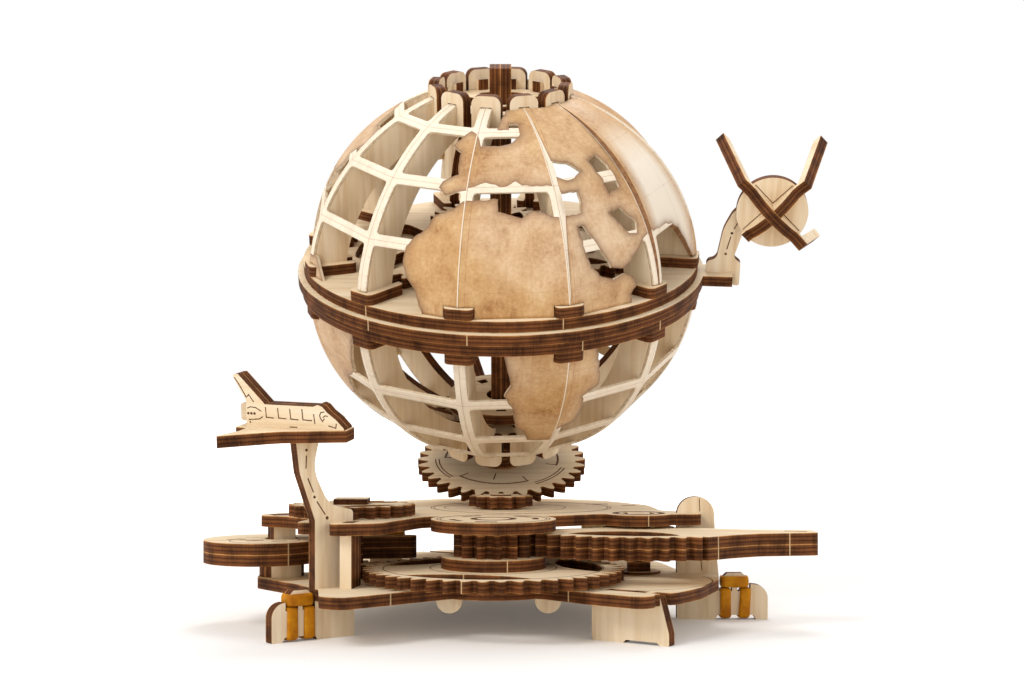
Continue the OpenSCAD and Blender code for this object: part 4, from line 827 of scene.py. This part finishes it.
# Black Sea, Caspian, Mediterranean and gulf, all on the strip to the right of the front one
NORTH_SEA = {2: [
    [(-16, 48.3), (-10.8, 48.1), (-6, 47.1), (-1.6, 43.9), (-5.6, 42.2), (-8.8, 41.9),
     (-14.3, 44.1), (-16, 44.3)],
    [(4, 46.8), (8.8, 48), (11.1, 44.5), (11.5, 40.4), (11.2, 37.3), (6.1, 35.9), (6.3, 40.4)],
    [(-16, 39.7), (-10.3, 38.5), (-6, 38.4), (-6.2, 35.1), (-7.4, 32.2), (-12.2, 32), (-16, 32)],
    [(3.4, 30.7), (7.8, 31.7), (12, 26.7), (11, 23.7), (8.3, 24.1), (6.6, 26.6)]]}
SOUTH = [
    [],
    [[(-3, 0), (-2.4, 8.3), (-0.8, 15.7), (-2.8, 19.7), (0, 25), (1, 33), (4.3, 36), (6.1, 41),
      (10, 41.6), (16, 41), (16, 0)]],
    [[(-16, 0), (-5.5, 0), (-5.9, 7), (-3.4, 15.8), (-3.3, 18.7), (-8.5, 22), (-7.5, 25),
      (-7.3, 27.3), (-8.3, 33), (-12.9, 34.3), (-16, 35)]],
    [],
    [[(9, 21), (16, 18), (16, 34), (10, 34)]],
    [[(-16, 19), (-9, 15), (-3, 12), (1, 12), (4, 17), (7, 11), (11, 18), (16, 22), (16, 37),
      (5, 38), (-2, 32), (-11, 34), (-16, 34)]],
    [[(-16, 22), (-12, 27), (-12, 33), (-14, 37), (-16, 37)],
     [(8, 36), (12, 38), (9, 43), (2, 46), (2, 42), (7, 39)]],
    [],
    [],
    [],
    [[(-5, 0), (-6, 5), (0, 14), (5, 19), (4, 28), (2, 40), (1, 50), (5, 54), (8, 51), (8, 45),
      (10, 40), (16, 37), (16, 0)]],
    [[(-16, 0), (5, 0), (10, 6), (6, 15), (4, 21), (-3, 25), (-9, 34), (-16, 37)]]]
BAND_ANGLE = math.degrees(PARALLEL_BAND / 2 / GORE_R)
# The last windows are open towards the clips at the pole
PAST_END = 75.0
WINDOWS = list(zip([GORE_LOW] + [p + BAND_ANGLE for p in PARALLELS],
                   [p - BAND_ANGLE for p in PARALLELS] + [PAST_END]))
CORNER, CORNER_STEPS = 1.3, (0.08, 0.3, 0.65)
# Half the gap between strips, the room beside a shoe, and the tongues at a clip
SEAM_GAP, SHOE_ROOM, TONGUE_W = 0.07, 5.75, 1.9
SHOE_GAP, END_GAP = 0.3, 0.1
END_X = CLIP_FACE * math.cos(HALF) + CLIP_HALF * math.sin(HALF) + END_GAP
# Where a strip starts, clears the shoes, and ends, in degrees
LOW = math.degrees(math.asin(SHELL_H0 / GORE_R))
SHOE_LAT = math.degrees(math.asin((SHOE_TOP + SHOE_GAP) / GORE_R))
HIGH = math.degrees(math.acos(END_X / GORE_R))
# Spacing of the points of a strip: on its sides, on level lines, and of the grid within, which
# stays clear of the sides
SIDE_STEPS, LEVEL_STEP = 38, 1.6
GRID_START, GRID_ALONG, GRID_ACROSS = 1.2, 1.35, 1.7
GRID_IN, GRID_IN_SHOE = 0.4, 6.0
# The bays of a coast, in degrees, and how far from it the burn reaches
BAY_STEP, BAY_SIZE, BURN_REACH = 1.3, 0.55, 1.3
# The northern strip that stands proud of the ribs, and how far
PROUD_STRIP, PROUD = 3, 1.6


def inside(poly, x, y):
    """Whether a point lies in a polygon."""
    hit = False
    for (x0, y0), (x1, y1) in zip(poly, poly[1:] + poly[:1]):
        if (y0 > y) != (y1 > y) and x < x0 + (y - y0) * (x1 - x0) / (y1 - y0):
            hit = not hit
    return hit


def ragged(poly, seed):
    """A coast with small bays between the chosen points, still on the seams."""
    out = []
    for i, (x0, y0) in enumerate(poly):
        x1, y1 = poly[(i + 1) % len(poly)]
        length = math.hypot((x1 - x0) * math.cos(rad((y0 + y1) / 2)), y1 - y0)
        on_seam = abs(x0) >= PAST_SEAM and abs(x1) >= PAST_SEAM
        if on_seam or (y0 <= 0 and y1 <= 0) or (y0 >= PAST_POLE and y1 >= PAST_POLE):
            out.append((x0, y0))
            continue
        count = max(1, round(length / BAY_STEP))
        for k in range(count):
            t = k / count
            x, y = x0 + t * (x1 - x0), y0 + t * (y1 - y0)
            if k:
                size = BAY_SIZE * min(1.0, length / 4)
                x += size * noise.noise(Vector((x * 0.55, y * 0.55, seed)))
                y += size * noise.noise(Vector((x * 0.55, y * 0.55, seed + 9.7)))
            out.append((x, y))
    return out


def half_width(s):
    """Half the width of a strip at the arc length s from the equator."""
    return GORE_R * math.cos(s / GORE_R) * math.tan(HALF)


def level(y, s):
    """Points on a level line from y to -y, without its ends."""
    count = max(2, math.ceil(2 * abs(y) / LEVEL_STEP))
    return [(y - 2 * y * i / count, s) for i in range(1, count)]


def mirrored(points):
    return [(-y, s) for y, s in reversed(points)]


def window_outline(low, high):
    """A window of the lattice, with round corners."""
    a, b = GORE_R * rad(low), GORE_R * rad(high)
    steps = [a + (b - a) * i / 10 for i in range(11)]
    steps = sorted(steps + [a + t * CORNER for t in CORNER_STEPS]
                   + [b - t * CORNER for t in CORNER_STEPS])
    side = []
    for s in steps:
        corner = max(0.0, CORNER - min(s - a, b - s))
        side.append((half_width(s) - SEAM_BAND - CORNER + math.sqrt(CORNER ** 2 - corner ** 2), s))
    return side + level(side[-1][0], b) + mirrored(side) + level(-side[0][0], a)


def strip_outline():
    """The whole strip: narrow beside the shoes, and with a tongue at each upper corner."""
    side = [(half_width(GORE_R * rad(t)) - SHOE_ROOM, GORE_R * rad(t))
            for t in (LOW, (LOW + SHOE_LAT) / 2, SHOE_LAT)]
    tip = math.degrees(math.acos(CLIP_FACE * math.cos(HALF) / GORE_R))
    side += [(half_width(s) - SEAM_GAP, s)
             for s in (GORE_R * rad(SHOE_LAT + (tip - SHOE_LAT) * i / SIDE_STEPS)
                       for i in range(SIDE_STEPS + 1))]
    inner = side[-1][0] - TONGUE_W
    inner_x = (CLIP_FACE - inner * math.sin(HALF)) / math.cos(HALF)
    side += [(inner, GORE_R * math.acos(inner_x / GORE_R)), (inner, GORE_R * rad(HIGH))]
    return side + level(inner, side[-1][1]) + mirrored(side) + level(-side[0][0], side[0][1])


def flat(lon, lat):
    """A place on the flat strip: across from its middle, and along from the equator."""
    x = GORE_R * math.cos(rad(lat))
    return (x * math.tan(rad(lon)), GORE_R * rad(lat))


def flat_faces(loops):
    """Triangles of the flat strip that keep to its loops, with a grid of points between."""
    verts, edges = [], []
    for loop in loops:
        first, last = len(verts), len(verts) + len(loop) - 1
        verts += [Vector(p) for p in loop]
        edges += [(i, i + 1) for i in range(first, last)] + [(last, first)]
    s = GORE_R * rad(LOW) + GRID_START
    while s < GORE_R * rad(HIGH):
        w = half_width(s) - (GRID_IN if s > GORE_R * rad(SHOE_LAT) else GRID_IN_SHOE)
        count = max(2, round(2 * w / GRID_ACROSS))
        verts += [Vector((-w + 2 * w * i / count, s)) for i in range(count + 1)]
        s += GRID_ALONG
    points, _, faces, *_ = geometry.delaunay_2d_cdt(verts, edges, [], 0, 1e-5)
    return points, faces


def coast_near(shores, p):
    """1 at a coast, and less away from it. shores are rows of x0, y0, x1, y1."""
    if not len(shores):
        return 0.0
    a, d = shores[:, :2], shores[:, 2:] - shores[:, :2]
    t = np.clip(((p - a) * d).sum(1) / np.maximum((d * d).sum(1), 1e-9), 0, 1)
    gap = np.sqrt((((a + d * t[:, None]) - p) ** 2).sum(1)).min()
    return math.exp(-gap / BURN_REACH)


OUTLINE = strip_outline()
CUTS = [window_outline(a, b) for a, b in WINDOWS]


def map_strip(k, south):
    """One strip of the map, bent one way, with its windows and coasts cut through."""
    lands = [ragged(p, k + 20 * south) for p in (SOUTH if south else NORTH)[k]]
    seas = [] if south else [ragged(p, k + 0.5) for p in NORTH_SEA.get(k, [])]
    proud = PROUD if k == PROUD_STRIP and not south else 0.0
    coasts = [[flat(*p) for p in poly] for poly in lands + seas]
    points, faces = flat_faces([OUTLINE] + CUTS + coasts)
    shores = []
    for poly, around in zip(coasts, lands + seas):
        shores += [(*poly[i - 1], *poly[i]) for i in range(len(poly))
                   if abs(around[i][0]) < PAST_SEAM or abs(around[i - 1][0]) < PAST_SEAM]
    shores = np.array(shores, float).reshape(-1, 4)
    bm = bmesh.new()
    layer = bm.verts.layers.float.new("coast")
    outer, inner = {}, {}

    def vert(i, table, r):
        if i not in table:
            y, s = points[i]
            lift = max(0.0, (s - GORE_R * rad(LOW)) / (GORE_R * rad(HIGH - LOW)))
            if proud and table is outer:
                r += proud * math.sin(math.pi * min(1.0, lift)) ** 0.8
            a = s / GORE_R
            table[i] = bm.verts.new(Vector((r * math.cos(a), y, r * math.sin(a))))
            table[i][layer] = coast_near(shores, np.array((y, s)))
        return table[i]

    sides = {}
    for f in faces:
        y = sum(points[i].x for i in f) / 3
        s = sum(points[i].y for i in f) / 3
        if not inside(OUTLINE, y, s):
            continue
        land = any(inside(p, y, s) for p in coasts[:len(lands)]) and not any(
            inside(p, y, s) for p in coasts[len(lands):])
        if not land and any(inside(w, y, s) for w in CUTS):
            continue
        face = bm.faces.new([vert(i, outer, GORE_R) for i in f])
        face.material_index = 1 if land else 0
        face.smooth = True
        back = bm.faces.new([vert(i, inner, GORE_R - SHEET) for i in reversed(f)])
        back.material_index = 2
        back.smooth = True
        for a, b in zip(f, f[1:] + f[:1]):
            sides[(a, b)] = True
    for a, b in sides:
        if (b, a) not in sides:
            bm.faces.new((outer[b], outer[a], inner[a], inner[b])).material_index = 3
    name = "map_%s_%02d" % ("south" if south else "north", k)
    mesh = bpy.data.meshes.new(name)
    bm.normal_update()
    bm.to_mesh(mesh)
    bm.free()
    place = Matrix.Rotation(rad(LON_ZERO + (k - 0.5) * RIB_DEG), 4, "Z")
    if south:
        place = Matrix.Scale(-1, 4, UP) @ place
        mesh.flip_normals()
    mesh.transform(Matrix.Scale(MM, 4) @ GLOBE @ place)
    # The proud strip takes the print with its painted highlight, and rims darkened with painted shade
    for m in (GORE_WOOD, HIGHLIT_PRINT if proud else PRINT, GORE_BACK, SHADED_RIM if proud else RIM):
        mesh.materials.append(m)
    return add_object(name, mesh)


GROUPS = ("front", "right", "back", "left")
for south in (0, 1):
    for k in range(12):
        o = map_strip(k, south)
        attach(o, "globe")
        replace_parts(o, "%s_gores_%s" % ("south" if south else "north", GROUPS[k // 3]))

# Stage, light and camera, in metres
FLOOR_SIZE, FLOOR_AT = 12, (0, 2.0, 0)
FLOOR_COLOUR = (0.80, 0.775, 0.755)
# Towards the picture's edges the floor glows as white as the background
GLOW_MIDDLE = (0.0, -2.0, 0.0)
GLOW = (("From Min", 0.22), ("From Max", 0.75), ("To Min", 0.07), ("To Max", 1.0))
WORLD_LIGHT, WORLD_SEEN = 0.76, 1.0
# Lamps: name, place, target, size, power and colour
LAMPS = (("key", (-0.75, -0.75, 0.95), (0, 0, 0.1), 0.55, 9.0, (1.0, 0.985, 0.96)),
         ("fill", (0.95, -0.55, 0.55), (0, 0, 0.1), 0.7, 2.5, WHITE),
         ("top", (0.1, 0.5, 1.1), (0, 0, 0.1), 0.6, 6.5, WHITE),
         ("front", (-0.35, -1.1, 0.22), (0, 0, 0.05), 0.6, 1.2, WHITE))
# The camera fitted to the photo: its place, and its focal length and shift in pixels
EYE, FOCAL, SHIFT, IMAGE_W, SENSOR = (-0.00455, -0.600, 0.0793), 1593.0, 62.6, 1024.0, 36.0

bpy.ops.mesh.primitive_plane_add(size=FLOOR_SIZE, location=FLOOR_AT)
floor = bpy.context.object
floor.name = "floor"
g = Graph("pale_floor")
path = g.node("ShaderNodeLightPath")
seen = g.math("MAXIMUM", path.outputs["Is Camera Ray"], path.outputs["Is Glossy Ray"])
distance = g.vector("LENGTH", g.vector("SUBTRACT", g.coord("Object"), GLOW_MIDDLE))
far = g.node("ShaderNodeMapRange", interpolation_type="SMOOTHSTEP")
for socket, value in (("Value", distance), *GLOW):
    g.put(far.inputs[socket], value)
g.put(g.bsdf.inputs["Emission Color"], WHITE)
g.put(g.bsdf.inputs["Emission Strength"], g.math("MULTIPLY", seen, far.outputs["Result"]))
floor.data.materials.append(g.finish(FLOOR_COLOUR, 0.9, 0.0))

world = bpy.data.worlds.new("studio")
bpy.context.scene.world = world
world.use_nodes = True
sky = world.node_tree
back = sky.nodes["Background"]
back.inputs["Color"].default_value = (1.0, 1.0, 1.0, 1)
path = sky.nodes.new("ShaderNodeLightPath")
strength = sky.nodes.new("ShaderNodeMapRange")
sky.links.new(path.outputs["Is Camera Ray"], strength.inputs["Value"])
strength.inputs["To Min"].default_value = WORLD_LIGHT
strength.inputs["To Max"].default_value = WORLD_SEEN
sky.links.new(strength.outputs["Result"], back.inputs["Strength"])

for name, place, target, size, energy, colour in LAMPS:
    lamp = bpy.data.lights.new(name, "AREA")
    lamp.shape = "DISK"
    lamp.size = size
    lamp.energy = energy
    lamp.color = colour
    o = add_object(name, lamp)
    o.location = place
    o.rotation_mode = "QUATERNION"
    o.rotation_quaternion = (Vector(target) - Vector(place)).to_track_quat("-Z", "Y")

camera = bpy.data.cameras.new("camera")
camera.sensor_width = SENSOR
camera.lens = FOCAL / IMAGE_W * SENSOR
camera.shift_y = SHIFT / IMAGE_W
camera.clip_start = 0.01
camera.clip_end = 50.0
eye = add_object("camera", camera)
eye.location = EYE
eye.rotation_euler = (math.pi / 2, 0, 0)
bpy.context.scene.camera = eye
bpy.context.scene.view_settings.view_transform = "Standard"
